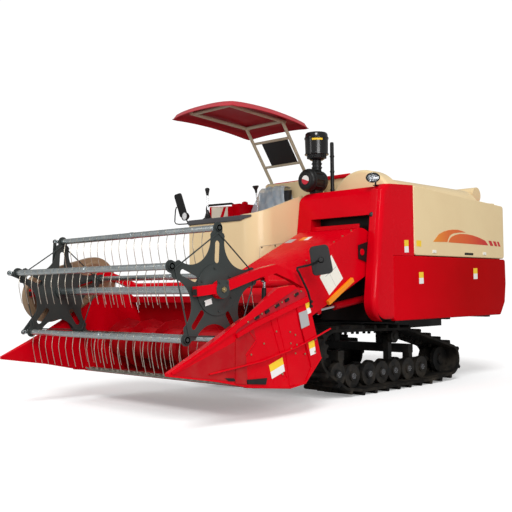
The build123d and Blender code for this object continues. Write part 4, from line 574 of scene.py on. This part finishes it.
# the door's stripes as outlines in x and z, its latches and its pull
doorTrim = {
    "face": 1000,
    "stripes": (((-312, 1380), (-418, 1457), (-503, 1486), (-588, 1503), (-675, 1513), (-762, 1516),
                 (-845, 1509), (-925, 1495), (-800, 1490), (-686, 1476), (-640, 1462), (-610, 1442),
                 (-585, 1415), (-569, 1386)),
                ((-588, 1384), (-618, 1422), (-660, 1444), (-730, 1464), (-811, 1477), (-940, 1479),
                 (-1071, 1471), (-1195, 1453), (-1319, 1426), (-1384, 1379)),
                ((-1386, 1429), (-1448, 1428), (-1492, 1376), (-1429, 1377)),
                ((-1486, 1427), (-1542, 1426), (-1582, 1375), (-1524, 1376)),
                ((-1572, 1425), (-1614, 1424), (-1650, 1374), (-1606, 1375))),
    "latches": ((-327, 1287), (-1296, 1290)),
}


def makeDoorTrim(face, stripes, latches):
    foil, latch = Shape(), Shape()
    for outline in stripes:
        foil.sheet(outline, face + 0.2, 1.2)
    foil.piece("doorStripes", "left_door", "sunset")
    for x, z in latches:
        latch.box((x - 34, face, z - 15), (x + 34, face + 5, z + 15)).peg(x + 12, face + 5, z, 4, 9, 16)
    latch.piece("doorLatches", "left_door", "labelCream", 0.002)
    pull = Shape().box((-1066, face - 15, 1268), (-903, face + 1, 1289))
    pull.piece("doorPull", "left_door", "blackPlastic", 0.002)


feeder = {"side": 868, "slope": -0.461, "start": (682, 1484),
          "sheet": ((1070, 1228), (917, 1029), (1105, 888), (1226, 1037)),
          "top": (("feederTopGrey", "labelGrey", (872, 948), (222, 306)),
                  ("feederTopOrange", "orange", (842, 908), (362, 424)),
                  ("feederTopWhite", "labelWhite", (842, 908), (424, 470)))}


def makeFeederLabels(side, slope, start, sheet, top):
    Shape().sheet(sheet, side + 0.3, 1.3).piece("feederSheet", "feeder_house", "labelCream")
    y = side + 1.4
    lines = Shape().tube((1152, y, 1043), (1006, y, 1131), 2.4, 8)
    lines.tube((1140, y, 1128), (1015, y, 960), 1.4, 8).piece("feederSheetLines", "feeder_house", "labelGrey")

    def above(x, y, lift=0.4):  # a point on the feeder's sloping top
        return Vector((x, y, start[1] + slope * (x - start[0]) + lift))

    for name, finish, (x0, x1), (y0, y1) in top:
        label = Shape().plate([above(x0, y0), above(x1, y0), above(x1, y1), above(x0, y1)], (0, 0, 1.5))
        label.piece(name, "feeder_house", finish)
    bolts = Shape()  # along the housing's upper left edge
    for step in range(6):
        place = above(760 + 120 * step, side - 24, 0)
        bolts.tube(place, place + Vector((3, 0, 7)), 9, 6)
    bolts.piece("feederBolts", "feeder_house", "brassy", 0.001)


headerMirror = {"middle": (1491, 1103, 1168), "size": (30, 158, 232), "turn": 42, "tilt": 9, "boss": 26,
                "bracket": ((1752, 1214, 800), (1752, 1214, 850), (1775, 1212, 920), (1872, 1208, 1066),
                            (1886, 1204, 1084), (1878, 1198, 1098), (1850, 1190, 1104), (1680, 1134, 1122),
                            (1580, 1106, 1140), (1524, 1098, 1160))}


def makeHeaderMirror(middle, size, turn, tilt, boss, bracket):
    turned = Matrix.Rotation(math.radians(turn), 4, "Z") @ Matrix.Rotation(math.radians(tilt), 4, "X")
    place = Matrix.Translation(middle) @ turned
    deep, wide, high = size
    shell = Shape()
    for vert in bmesh.ops.create_cube(shell.mesh, size=1)["verts"]:  # narrower at the top
        x, y, z = vert.co
        vert.co = Vector((x * deep * (1 - 0.2 * z), y * wide * (1 - 0.08 * z), z * high))
    shell.roundAlongX(34, 6).place(place)
    ahead = turned.to_3x3() @ Vector((1, 0, 0))
    shell.tube(Vector(middle) + ahead * 12, Vector(middle) + ahead * 30, boss, 28, 18)
    shell.piece("headerMirrorShell", "header_ends", "blackPlastic", 0.004)
    glassPane = Shape().box((-deep / 2 - 5, 14 - wide / 2, 16 - high / 2),
                            (2 - deep / 2, wide / 2 - 14, high / 2 - 16))
    glassPane.place(place).piece("headerMirrorGlass", "header_ends", "mirrorGlass")
    arm = Shape().wire(bracket, 8.5, 12).peg(1752, 1208, 812, 22, 12, 6).peg(1752, 1208, 846, 22, 12, 6)
    arm.piece("headerMirrorBracket", "header_ends", "black")


canopyTop = {"size": (1095, 877), "rim": 44, "crown": 42, "corner": 0.045, "skin": 0.006, "slope": 46 / 711}


def makeCanopy(size, rim, crown, corner, skin, slope):
    low, high = (drawn(end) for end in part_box("canopy"))
    middle = (low + high) / 2
    work = bmesh.new()
    bmesh.ops.create_grid(work, x_segments=30, y_segments=24, size=1)
    for vert in work.verts:
        u, w = vert.co.xy
        edge = max(abs(u), abs(w))
        fall = crown * min(1.2, abs(u) ** 2.4 * 0.7 + abs(w) ** 2.4 * 0.7) + (rim if edge > 0.985 else 0)
        narrow = 1 - corner * (abs(u) * abs(w)) ** 3
        x = u * size[0] / 2 * narrow * (0.985 if edge < 0.985 else 1)
        vert.co = (middle.x + x, middle.y + w * size[1] / 2 * narrow,
                   high.z - 20 - fall + x * slope - abs(x) * 0.012)
    bmesh.ops.recalc_face_normals(work, faces=work.faces)
    if max(work.faces, key=lambda face: face.calc_center_median().z).normal.z < 0:
        bmesh.ops.reverse_faces(work, faces=work.faces)
    bmesh.ops.transform(work, matrix=toFrame, verts=work.verts)
    # the shell's inner side is maroon as painted shade under the canopy
    piece = meshPiece(written(work, "canopyShell", 60), "machine", "canopy_red", finishes["canopyRed"],
                      finishes["maroon"])
    wall = piece.modifiers.new("wall", "SOLIDIFY")
    wall.thickness, wall.offset, wall.material_offset, wall.use_even_offset = skin, -1, 1, True
    wall.material_offset_rim = 0
    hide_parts("canopy")


cleaner = {"drum": (445, 150, 1985), "radius": 112, "neck": (385, 150), "bowl": 2206}


def makeAirCleaner(drum, radius, neck, bowl):
    x, y, z = drum
    r = radius
    body = Shape().turned(((-120, 0), (-120, r - 40), (-112, r - 16), (-100, r - 8), (-62, r - 8), (-60, r),
                           (-52, r), (-50, r - 8), (58, r - 8), (60, r), (72, r), (74, r - 6), (96, r - 8),
                           (110, r - 18), (118, r - 38), (118, 52), (112, 48), (112, 0)),
                          drum, (1, 0, 0), 56)
    for ribY, ribZ in ring(y, z, r - 4, 10):
        body.tube((x - 46, ribY, ribZ), (x + 54, ribY, ribZ), 7, 8)
    body.tube((*neck, z + 70), (*neck, 2190), 44, 36)
    for level in (2112, 2150):
        body.turned(((0, 44), (0, 52), (12, 52), (12, 44)), (*neck, level), (0, 0, 1), 36)
    body.box((x - 90, y - 24, 1857), (x + 25, y + 48, z - 70))
    body.piece("airFilterDrum", "air_cleaner", "blackPlastic", 0.002, ("air_cleaner",))
    top = Shape().turned(((-16, 0), (-16, 60), (0, 82), (20, 88), (34, 92), (36, 116), (48, 117), (50, 110),
                          (188, 113), (190, 118), (206, 118), (208, 112), (240, 108), (252, 98), (256, 60),
                          (256, 0)), (*neck, bowl), (0, 0, 1), 60)
    for ribX, ribY in ring(*neck, 92, 24):
        top.box((ribX - 3, ribY - 3, bowl + 2), (ribX + 3, ribY + 3, bowl + 36))
    top.piece("airPrecleaner", "air_cleaner", "blackGloss", 0.0015)
    strip = Shape()
    points = ring(*neck, 115, 90, math.radians(18))[:14]
    for (x0, y0), (x1, y1) in zip(points, points[1:]):
        out = (Vector((x0, y0)) - Vector(neck)).normalized() * 2
        strip.plate([(x0, y0, bowl + 168), (x1, y1, bowl + 168), (x1, y1, bowl + 186), (x0, y0, bowl + 186)],
                    (*out, 0))
    strip.piece("precleanerStrip", "air_cleaner", "labelYellow")
    for name, start, finish in (("filterLabelTop", -20, "labelWhite"), ("filterLabelLow", 160, "labelRed")):
        half = ring(y, z, 44, 32, math.radians(start))[:17]  # half of the drum's round blank label
        Shape().plate([(x + 114, *point) for point in half], (1.5, 0, 0)).piece(name, "air_cleaner", finish)


stack = {"foot": (243, 226, 1846), "top": 2375, "bands": (1900, 2080, 2230)}


def makeStack(foot, top, bands):
    long = top - foot[2]
    pipe = Shape().turned(((0, 0), (0, 40), (6, 40), (8, 19), (long - 14, 19), (long, 16), (long, 13),
                           (long - 24, 13), (long - 24, 0)), foot, (0, 0, 1), 28)
    for level in bands:
        pipe.turned(((0, 19), (0, 23), (14, 23), (14, 19)), (*foot[:2], level), (0, 0, 1), 28)
    pipe.piece("stackPipe", "exhaust_pipe", "blackPlastic", 0.001, ("exhaust_pipe",))


lamp = {"middle": (520, 912, 1928), "radius": 60, "squash": 0.76, "turn": 38, "stalk": 480}


def makeWorkLamp(middle, radius, squash, turn, stalk):
    r = radius
    place = (Matrix.Translation(middle) @ Matrix.Rotation(math.radians(turn), 4, "Z")
             @ Matrix.Diagonal((1, 1.06, squash, 1)))
    housing = ((-40, 0), (-40, 18), (-32, 30), (-12, 46), (6, r), (22, r), (22, r - 7), (16, r - 8), (6, 44),
               (-10, 36), (-22, 18), (-24, 0))
    reflector = ((-16, 0), (-15, 16), (-8, 34), (4, 44), (14, r - 10))
    pane = ((20, 0), (19, 24), (15, r - 8), (13, r - 8), (17, 24), (18, 0))
    bulb = ((-14, 0), (-14, 9), (2, 9), (6, 5), (7, 0))
    for name, profile, finish, edge, instead in (("Housing", housing, "blackPlastic", 0.0015, ("work_lamp",)),
                                                 ("Reflector", reflector, "chrome", 0.0, ()),
                                                 ("Glass", pane, "lampGlass", 0.0, ()),
                                                 ("Bulb", bulb, "labelWhite", 0.0, ())):
        part = Shape().turned(profile, (0, 0, 0), (1, 0, 0), 44).place(place)
        part.piece("workLamp" + name, "work_lamp", finish, edge, instead)
    x, y, z = middle
    foot = Shape().tube((stalk, y, z - 30), (stalk, y, 1862), 8, 14)
    foot.box((stalk - 20, y - 16, 1860), (stalk + 20, y + 16, 1867))
    foot.piece("workLampStalk", "work_lamp", "black", 0.001)


# foot and knob of each lever, the knob's profile, and how much slimmer its boot is
levers = {
    "dash": ((1030, -720, 1640), (1034, -720, 1922),
             ((-46, 0), (-46, 11), (-30, 14), (0, 20), (14, 24), (26, 20), (32, 8), (32, 0)), 0),
    "seatSide": ((838, -150, 1180), (931, -150, 1900),  # wide grip with a flat top
                 ((-40, 0), (-40, 10), (-12, 13), (4, 22), (16, 30), (24, 31), (28, 24), (28, 0)), 1),
}


def makeLevers(dash, seatSide):
    rods, soft = Shape(), Shape()
    for foot, knob, grip, slim in (dash, seatSide):
        foot, knob = Vector(foot), Vector(knob)
        rods.tube(foot + Vector((0, 0, 12)), knob, 7, 14)
        soft.turned(grip, knob, knob - foot, 24)
        boot = [(0, 0), (0, 52 - slim * 18), (4, 54 - slim * 18)]
        for fold in range(4):
            boot += [(14 + fold * 20, 40 - fold * 8 - slim * 10), (24 + fold * 20, 30 - fold * 6 - slim * 6)]
        soft.turned(boot + [(96, 7), (96, 0)], foot, knob - foot, 28)
    rods.piece("leverRods", "control_levers", "chrome", 0.0, ("control_levers",))
    soft.piece("leverKnobs", "control_levers", "blackPlastic", 0.001)


dashMirror = {"plate": (1072, -1080, 1806), "lamp": (1098, -990, 1688), "lean": (8, 14),
              "bracket": ((1052, -942, 1614), (1054, -1020, 1614), (1064, -1120, 1616), (1086, -1142, 1622),
                          (1100, -1144, 1640), (1096, -1144, 1700), (1090, -1143, 1762), (1086, -1134, 1788),
                          (1082, -1112, 1796))}


def makeSideMirror(plate, lamp, lean, bracket):
    x, y, z = plate
    leant = Matrix.Rotation(math.radians(lean[0]), 4, "X") @ Matrix.Rotation(math.radians(lean[1]), 4, "Y")
    around = Matrix.Translation(plate) @ leant @ Matrix.Translation(-Vector(plate))
    shell = Shape().box((x - 10, y - 50, z - 122), (x + 12, y + 50, z + 122)).roundAlongX(24, 5).place(around)
    shell.piece("dashMirrorShell", "side_mirror", "blackPlastic", 0.004, ("side_mirror",))
    glassPane = Shape().box((x - 12, y - 42, z - 112), (x - 10.5, y + 42, z + 112)).place(around)
    glassPane.piece("dashMirrorGlass", "side_mirror", "mirrorGlass")
    x, y, z = lamp
    arms = Shape().wire(bracket, 6, 10).wire(((1052, y, 1612), (1060, y, 1630), (x - 24, y, z - 40)), 7, 10)
    arms.piece("dashMirrorBracket", "side_mirror", "black")
    housing = ((-50, 0), (-48, 18), (-28, 36), (-6, 44), (8, 46), (8, 38), (2, 36), (2, 0))
    lens = ((4, 0), (5, 20), (3, 37), (1.5, 37), (2.5, 0))
    for name, profile, finish, edge in (("Housing", housing, "blackPlastic", 0.0012),
                                        ("Lens", lens, "lensWhite", 0.0)):
        part = Shape().turned(profile, lamp, (1, 0, 0), 36)
        part.piece("dashLamp" + name, "side_mirror", finish, edge)


knife = {"pitch": 76.2, "low": -805, "high": 1045, "x": 2352, "z": 268}


def makeKnife(pitch, low, high, x, z):
    count = int((high - low) // pitch)
    y = (low + high) / 2 - (count - 1) * pitch / 2
    teeth = Shape()  # a finger, its root and a blade
    teeth.plate(((x, y - 11, z - 4), (x + 44, y - 9, z + 3), (x + 74, y, z + 16), (x + 44, y + 9, z + 3),
                 (x, y + 11, z - 4)), (0, 0, 13))
    teeth.box((x - 16, y - 16, z + 2), (x + 20, y + 16, z + 22))
    blade = ((2, 8), (52, 30), (56, 38), (52, 46), (2, 68))
    teeth.plate([(x + dx, y + dy, z + 5) for dx, dy in blade], (0, 0, 3)).repeat(count, pitch)
    teeth.box((x - 30, low - 5, z - 8), (x + 10, high + 5, z + 5))
    teeth.piece("knifeTeeth", "knife_bar", "knife", 0.0, ("knife_bar",))


station = {"front": 1092, "left": 24, "bend": 210, "bandLow": 1572, "bandHigh": 1640,
           "seam": ((1078, 1190), (1060, 1338), (700, 1384), (650, 1372)),
           "screws": ((1040, 1328), (860, 1351), (720, 1368)),
           "panel": ((866, 1600), (866, 1781), (640, 1802), (640, 1600)),
           "stripe": ((770, 1640), (700, 1794), (664, 1797), (726, 1640))}


def makeDashBand(front, left, bend, low, high):  # runs on round the fairing's corner and tapers
    band = Shape()
    corner = Vector((front - bend, left - bend))
    stops = [Vector((front + 14, -190))] + [Vector(stop) for stop in ring(*corner, bend + 9, 60)[:6]]
    outline = []  # the outer and the inner line of each stop, each at its low and its high edge
    for at, stop in enumerate(stops):
        inner = stop - (stop - corner).normalized() * 13 if at else stop - Vector((14, 0))
        bottom = low + 16 + 34 * at / (len(stops) - 1)
        outline.append([band.mesh.verts.new((*line, level)) for line, level in
                        ((stop, bottom), (stop, high), (inner, high), (inner, bottom))])
    for first, second in zip(outline, outline[1:]):
        for at in range(4):
            band.mesh.faces.new((first[at - 1], first[at], second[at], second[at - 1]))
    for end in (outline[0], outline[-1]):
        band.mesh.faces.new(end)
    band.piece("dashBandEnd", "console", "greyPlastic", 0.002, (), 50)


def makeStation(front, left, bend, bandLow, bandHigh, seam, screws, panel, stripe):
    makeDashBand(front, left, bend, bandLow, bandHigh)
    groove, heads = Shape(), Shape()  # seam of the fairing's removable panel, and its screws
    for (x0, z0), (x1, z1) in zip(seam, seam[1:]):
        groove.tube((x0, left + 0.5, z0), (x1, left + 0.5, z1), 2.4, 8)
    groove.piece("fairingSeam", "operator_fairing", "frameBeige")
    for x, z in screws:
        heads.peg(x, left, z, 4, 8, 12)
    heads.piece("fairingScrews", "operator_fairing", "blackPlastic", 0.001)
    Shape().sheet(panel, -844.7, 2).piece("stationPanel", "side_box", "pale", 0.001)
    Shape().sheet(stripe, -842.6, 1).piece("stationStripe", "side_box", "red")
    knob = Shape().turned(((0, 0), (0, 30), (10, 34), (26, 30), (34, 14), (36, 0)), (418, -815, 1835),
                          (0, 0, 1), 28)
    knob.piece("stationKnob", "side_box", "red", 0.001)
    lip = Shape().box((492, 110, 1484), (507, 738, 1530))  # over the shroud's slot
    lip.piece("shroudSlotLip", "front_shroud", "red", 0.003)
    latch = Shape().turned(((0, 0), (0, 20), (6, 22), (12, 18), (14, 0)), (533, 900, 1600), (1, 0.9, 0), 24)
    latch.piece("shieldLatch", "left_front_shield", "blackPlastic", 0.001)


# low and high corners of the seat's parts, and how far the back leans
seatSizes = {"cushion": ((300, -714, 1562), (735, -246, 1655)),
             "back": ((276, -696, 1640), (376, -264, 1960)),
             "base": ((300, -680, 1421), (618, -280, 1560)), "lean": 34}


def puffed(low, high, puff):  # a crowned cushion between two corners, with two sewn channels
    shape = Shape()
    bmesh.ops.create_cube(shape.mesh, size=2)
    bmesh.ops.subdivide_edges(shape.mesh, edges=shape.mesh.edges, cuts=14, use_grid_fill=True)
    middle, half = (Vector(low) + Vector(high)) / 2, (Vector(high) - Vector(low)) / 2
    for vert in shape.mesh.verts:
        u, v, w = vert.co
        pull = 1 - 0.06 * (u * u + v * v - u * u * v * v)
        thin = 1 - puff * (u ** 4 + v ** 4 - u ** 4 * v ** 4)
        channel = 0.06 * math.exp(-(min(abs(abs(u) - 0.33), 1) * 14) ** 2)
        tucked = pull * (1 - 0.05 * abs(w) ** 4)
        vert.co = middle + Vector((u * half.x * tucked, v * half.y * tucked, w * half.z * (thin - channel)))
    return shape


def makeSeat(cushion, back, base, lean):
    soft = puffed(*cushion, 0.42).piece("seatCushion", "seat", "seat", 0.0, ("seat",), 60)
    (x0, y0, z0), (x1, y1, z1) = back
    upright = puffed((z0, y0, x0), (z1, y1, x1), 0.45)  # puffed lying down, then stood up and leant
    for vert in upright.mesh.verts:
        up, y, deep = vert.co
        vert.co = Vector((deep - lean * (up - z0) / (z1 - z0), y, up))
    soft = upright.piece("seatBack", "seat", "seat", 0.0, (), 60)
    (x0, y0, z0), (x1, y1, z1) = base
    box = Shape().box(*base).box((x0 + 4, y0 - 10, z1 - 30), (x1 + 60, y1 + 10, z1))
    box.piece("seatBase", "seat", "black", 0.006)


# the cover's middle line over the seat, from behind the back to the cushion's front: x, z
cover = {"line": ((268, 1700), (262, 1820), (250, 1940), (262, 1974), (306, 1984), (352, 1966), (372, 1880),
                  (392, 1780), (420, 1696), (500, 1674), (620, 1672), (720, 1664), (752, 1640), (760, 1590)),
         "half": 262, "middle": -480, "rows": 64, "across": 34}


def makeSeatCover(line, half, middle, rows, across):
    line = [Vector((x, 0, z)) for x, z in line]
    reached = [0.0]
    for first, second in zip(line, line[1:]):
        reached.append(reached[-1] + (second - first).length)
    shape, grid = Shape(), []
    for row in range(rows + 1):
        want = reached[-1] * row / rows
        at = max(index for index in range(len(line) - 1) if reached[index] <= want + 1e-6)
        centre = line[at].lerp(line[at + 1], (want - reached[at]) / (reached[at + 1] - reached[at]))
        ahead = (line[at + 1] - line[at]).normalized()
        out = Vector((-ahead.z, 0, ahead.x))
        if out.z < 0 and out.x < 0:
            out = -out
        peak = 1 - 0.34 * max(0.0, min(1.0, (centre.z - 1680) / 300))
        grid.append([])
        for column in range(across + 1):
            u = 2 * column / across - 1
            wave = 9 * math.sin(7 * u + want / 60) + 7 * math.sin(12 * u - want / 45 + 1.3)
            fall = max(0.0, abs(u) - 0.9) * 10
            side = middle + half * peak * (u - 0.02 * fall * math.copysign(1, u))
            place = centre + out * (18 + wave - fall * 6)
            grid[-1].append(shape.mesh.verts.new((place.x, side, place.z)))
    for first, second in zip(grid, grid[1:]):
        for at in range(across):
            shape.mesh.faces.new((first[at], first[at + 1], second[at + 1], second[at]))
    long, area = reached[-1] / 1000, sum(face.calc_area() for face in shape.mesh.faces) / 1e6
    piece = shape.piece("seatCover", "seat", "film", 0.0, (), 80)
    long * 1.1


trackCaps = {"radius": 29, "out": 720,
             "rollers": ((-517, 159), (-286, 159), (-56, 159), (146, 159), (348, 159), (596, 159), (802, 187))}


def makeTrackCaps(radius, out, rollers):
    caps, heads = Shape(), Shape()
    profile = ((0, 0), (0, radius), (4, radius), (7, radius - 5), (7, radius - 12), (4, radius - 14), (4, 8),
               (8, 6), (8, 0))
    for x, z in rollers:
        for side in (1, -1):
            caps.turned(profile, (x, side * out, z), (0, side, 0), 28)
            for boltX, boltZ in ring(x, z, 20, 6):
                heads.peg(boltX, side * (out + 5), boltZ, side * 5, 3.4, 6)
    caps.piece("rollerCaps", "track_gear", "greyPlastic", 0.001)
    heads.piece("rollerCapBolts", "track_gear", "zinc")


bodyTrim = {"right": -950, "sideRibs": (-210, -460, -710, -960), "rearRibs": (-780, -560, -340),
            "screen": ((62, 612), (720, 1372)), "slats": 15, "panels": (-1180, -780, -380),
            "rearFolds": (330, 600, 870), "bolts": (-1560, -980, -580, -120),
            "guards": ((2640, 905), (2170, 1030))}


def makeBodyTrim(right, sideRibs, rearRibs, screen, slats, panels, rearFolds, bolts, guards):
    tank = Shape()  # pressed ribs and the lid of the grain tank
    for x in sideRibs:
        tank.tube((x, right + 2, 1180), (x, right + 2, 1980), 9, 16)
    for y in rearRibs:
        tank.tube((-1238, y, 1340), (-1238, y, 2030), 9, 16)
    tank.box((-1150, -820, 2074), (-140, 130, 2086))
    for y in (-600, -90):
        tank.box((-1168, y - 40, 2074), (-1140, y + 40, 2094))
    tank.piece("tankRibs", "grain_tank", "beige", 0.003)
    rail = ((-420, 2086), (-420, 2112), (-270, 2112), (-270, 2086))
    Shape().wire([(-190, y, z) for y, z in rail], 7, 10).piece("tankLidHandle", "grain_tank", "black")
    (x0, x1), (z0, z1) = screen
    mesh = Shape().box((x0 + 22, right - 1.5, z0 + 22), (x1 - 22, right + 1, z1 - 22))
    mesh.piece("screenMesh", "right_panels", "shade")
    surround = Shape()  # the air intake's frame and slats
    for low, high in (((x0, z0), (x1, z0 + 24)), ((x0, z1 - 24), (x1, z1)), ((x0, z0), (x0 + 24, z1)),
                      ((x1 - 24, z0), (x1, z1))):
        surround.box((low[0], right - 7, low[1]), (high[0], right + 1, high[1]))
    for step in range(slats):
        z = z0 + 46 + step * (z1 - z0 - 92) / (slats - 1)
        surround.box((x0 + 20, right - 9, z - 10), (x1 - 20, right + 1, z + 6), Matrix.Rotation(0.35, 4, "X"))
    surround.piece("screenSlats", "right_panels", "red", 0.0015)
    folds, rear, heads = Shape(), Shape(), Shape()
    y, low, high = right + 2, 700, 1060
    for left, end in ((x - 150, x + 150) for x in panels):  # a folded frame on each panel
        for x0, z0, x1, z1 in ((left, low, end, low), (left, high, end, high), (left, low, left, high),
                               (end, low, end, high)):
            folds.tube((x0, y, z0), (x1, y, z1), 8, 14)
    folds.piece("panelFolds", "right_panels", "red")
    for y in rearFolds:
        rear.tube((-1731, y, 1180), (-1731, y, 1620), 8, 14)
    rear.piece("rearFolds", "rear_hood", "red")
    for x in bolts:
        heads.peg(x, right, 650, -6, 9, 6).peg(x, right, 1105, -6, 9, 6)
    heads.piece("panelBolts", "right_panels", "zinc", 0.001)
    rims = Shape()  # on the reel drive's guard
    for x, z in guards:
        for y, side in ((-1056, -1), (-987, 1)):
            rims.turned(((0, 150), (7, 156), (7, 176), (0, 182)), (x, y, z), (0, side, 0), 48)
            rims.turned(((0, 0), (0, 52), (8, 46), (8, 0)), (x, y, z), (0, side, 0), 32)
    rims.piece("guardRims", "reel_arms", "guard", 0.001)


makeHubDiscs(**hub)
makeReelArmFittings(**reelBearings)
makeHeaderEnds(**header)
makeBlankLabels(blankLabels)
makeDoorTrim(**doorTrim)
makeFeederLabels(**feeder)
makeHeaderMirror(**headerMirror)
makeCanopy(**canopyTop)
makeAirCleaner(**cleaner)
makeStack(**stack)
makeWorkLamp(**lamp)
makeLevers(**levers)
makeSideMirror(**dashMirror)
makeKnife(**knife)
makeStation(**station)
makeSeat(**seatSizes)
makeSeatCover(**cover)
makeTrackCaps(**trackCaps)
makeBodyTrim(**bodyTrim)
print("fittings made")

cameraSettings = {"place": (6349.5, 5151.0, 939.4), "yaw": 44.17, "pitch": 2.48, "roll": -0.66, "lens": 56.43,
                  "shift": (-0.0066, -0.0018)}
worldSettings = {"level": 0.55, "mirrored": 0.3, "backdrop": 1.05}
# lamps: kind, place, aim, size (a sun's in degrees), power
lamps = {
    "keyLight": ("SUN", (3.6, 2.8, 5.2), (0, 0, 0.8), 20, 1.55),
    "sideLight": ("AREA", (3.4, 6.0, 2.6), (1.4, 0, 0.9), (3.2, 1.6), 140),
    "frontLight": ("AREA", (6.5, -2.5, 3.4), (0.5, 0, 1), (1.4, 3.5), 45),
}


def makeCamera(place, yaw, pitch, roll, lens, shift):
    data = bpy.data.cameras.new("camera")
    data.lens, data.sensor_width, data.clip_end = lens, 36, 100
    data.shift_x, data.shift_y = shift
    yaw, pitch, roll = (math.radians(turn) for turn in (yaw, pitch, roll))
    ahead = Vector((-math.cos(yaw) * math.cos(pitch), -math.sin(yaw) * math.cos(pitch), math.sin(pitch)))
    right = ahead.cross(Vector((0, 0, 1))).normalized()
    up = right.cross(ahead)
    right, up = right * math.cos(roll) + up * math.sin(roll), up * math.cos(roll) - right * math.sin(roll)
    camera = bpy.data.objects.new("camera", data)
    collection.objects.link(camera)
    turn = Matrix((right, up, -ahead)).transposed().to_4x4()
    camera.matrix_world = Matrix.Translation(toFrame @ Vector(place)) @ turn
    bpy.context.scene.camera = camera


def makeStage():
    work = bmesh.new()
    bmesh.ops.create_grid(work, x_segments=1, y_segments=1, size=60)
    mesh = bpy.data.meshes.new("floor")
    work.to_mesh(mesh)
    work.free()
    floor = bpy.data.objects.new("floor", mesh)
    collection.objects.link(floor)
    pale = Finish("floorPale", Roughness=0.9, Specular_IOR_Level=0.0, Emission_Strength=1.0)
    seen = pale.ray("Camera")
    mesh.materials.append(pale.feed(Base_Color=0.42 + 0.5 * seen, Emission_Color=0.24 * seen))


def makeWorld(level, mirrored, backdrop):
    world = bpy.data.worlds.new("studio")
    bpy.context.scene.world = world
    world.use_nodes = True
    tree = Tree(world.node_tree)
    sky = world.node_tree.nodes["Background"].inputs
    tree.fill(sky["Color"], (1, 1, 1))
    passing = tree.ray("Camera") + tree.ray("Transmission")
    tree.fill(sky["Strength"], level + (backdrop - level) * passing + (mirrored - level) * tree.ray("Glossy"))


def makeLight(name, kind, place, aim, size, power):
    data = bpy.data.lights.new(name, kind)
    data.energy = power
    if kind == "SUN":
        data.angle = math.radians(size)
    else:
        data.shape, data.size, data.size_y = "RECTANGLE", *size
    light = bpy.data.objects.new(name, data)
    collection.objects.link(light)
    light.location = place
    light.rotation_euler = (Vector(aim) - Vector(place)).to_track_quat("-Z", "Y").to_euler()


makeCamera(**cameraSettings)
makeStage()
makeWorld(**worldSettings)
for name, row in lamps.items():
    makeLight(name, *row)
bpy.context.scene.view_settings.view_transform = "Standard"
print("camera and light set")
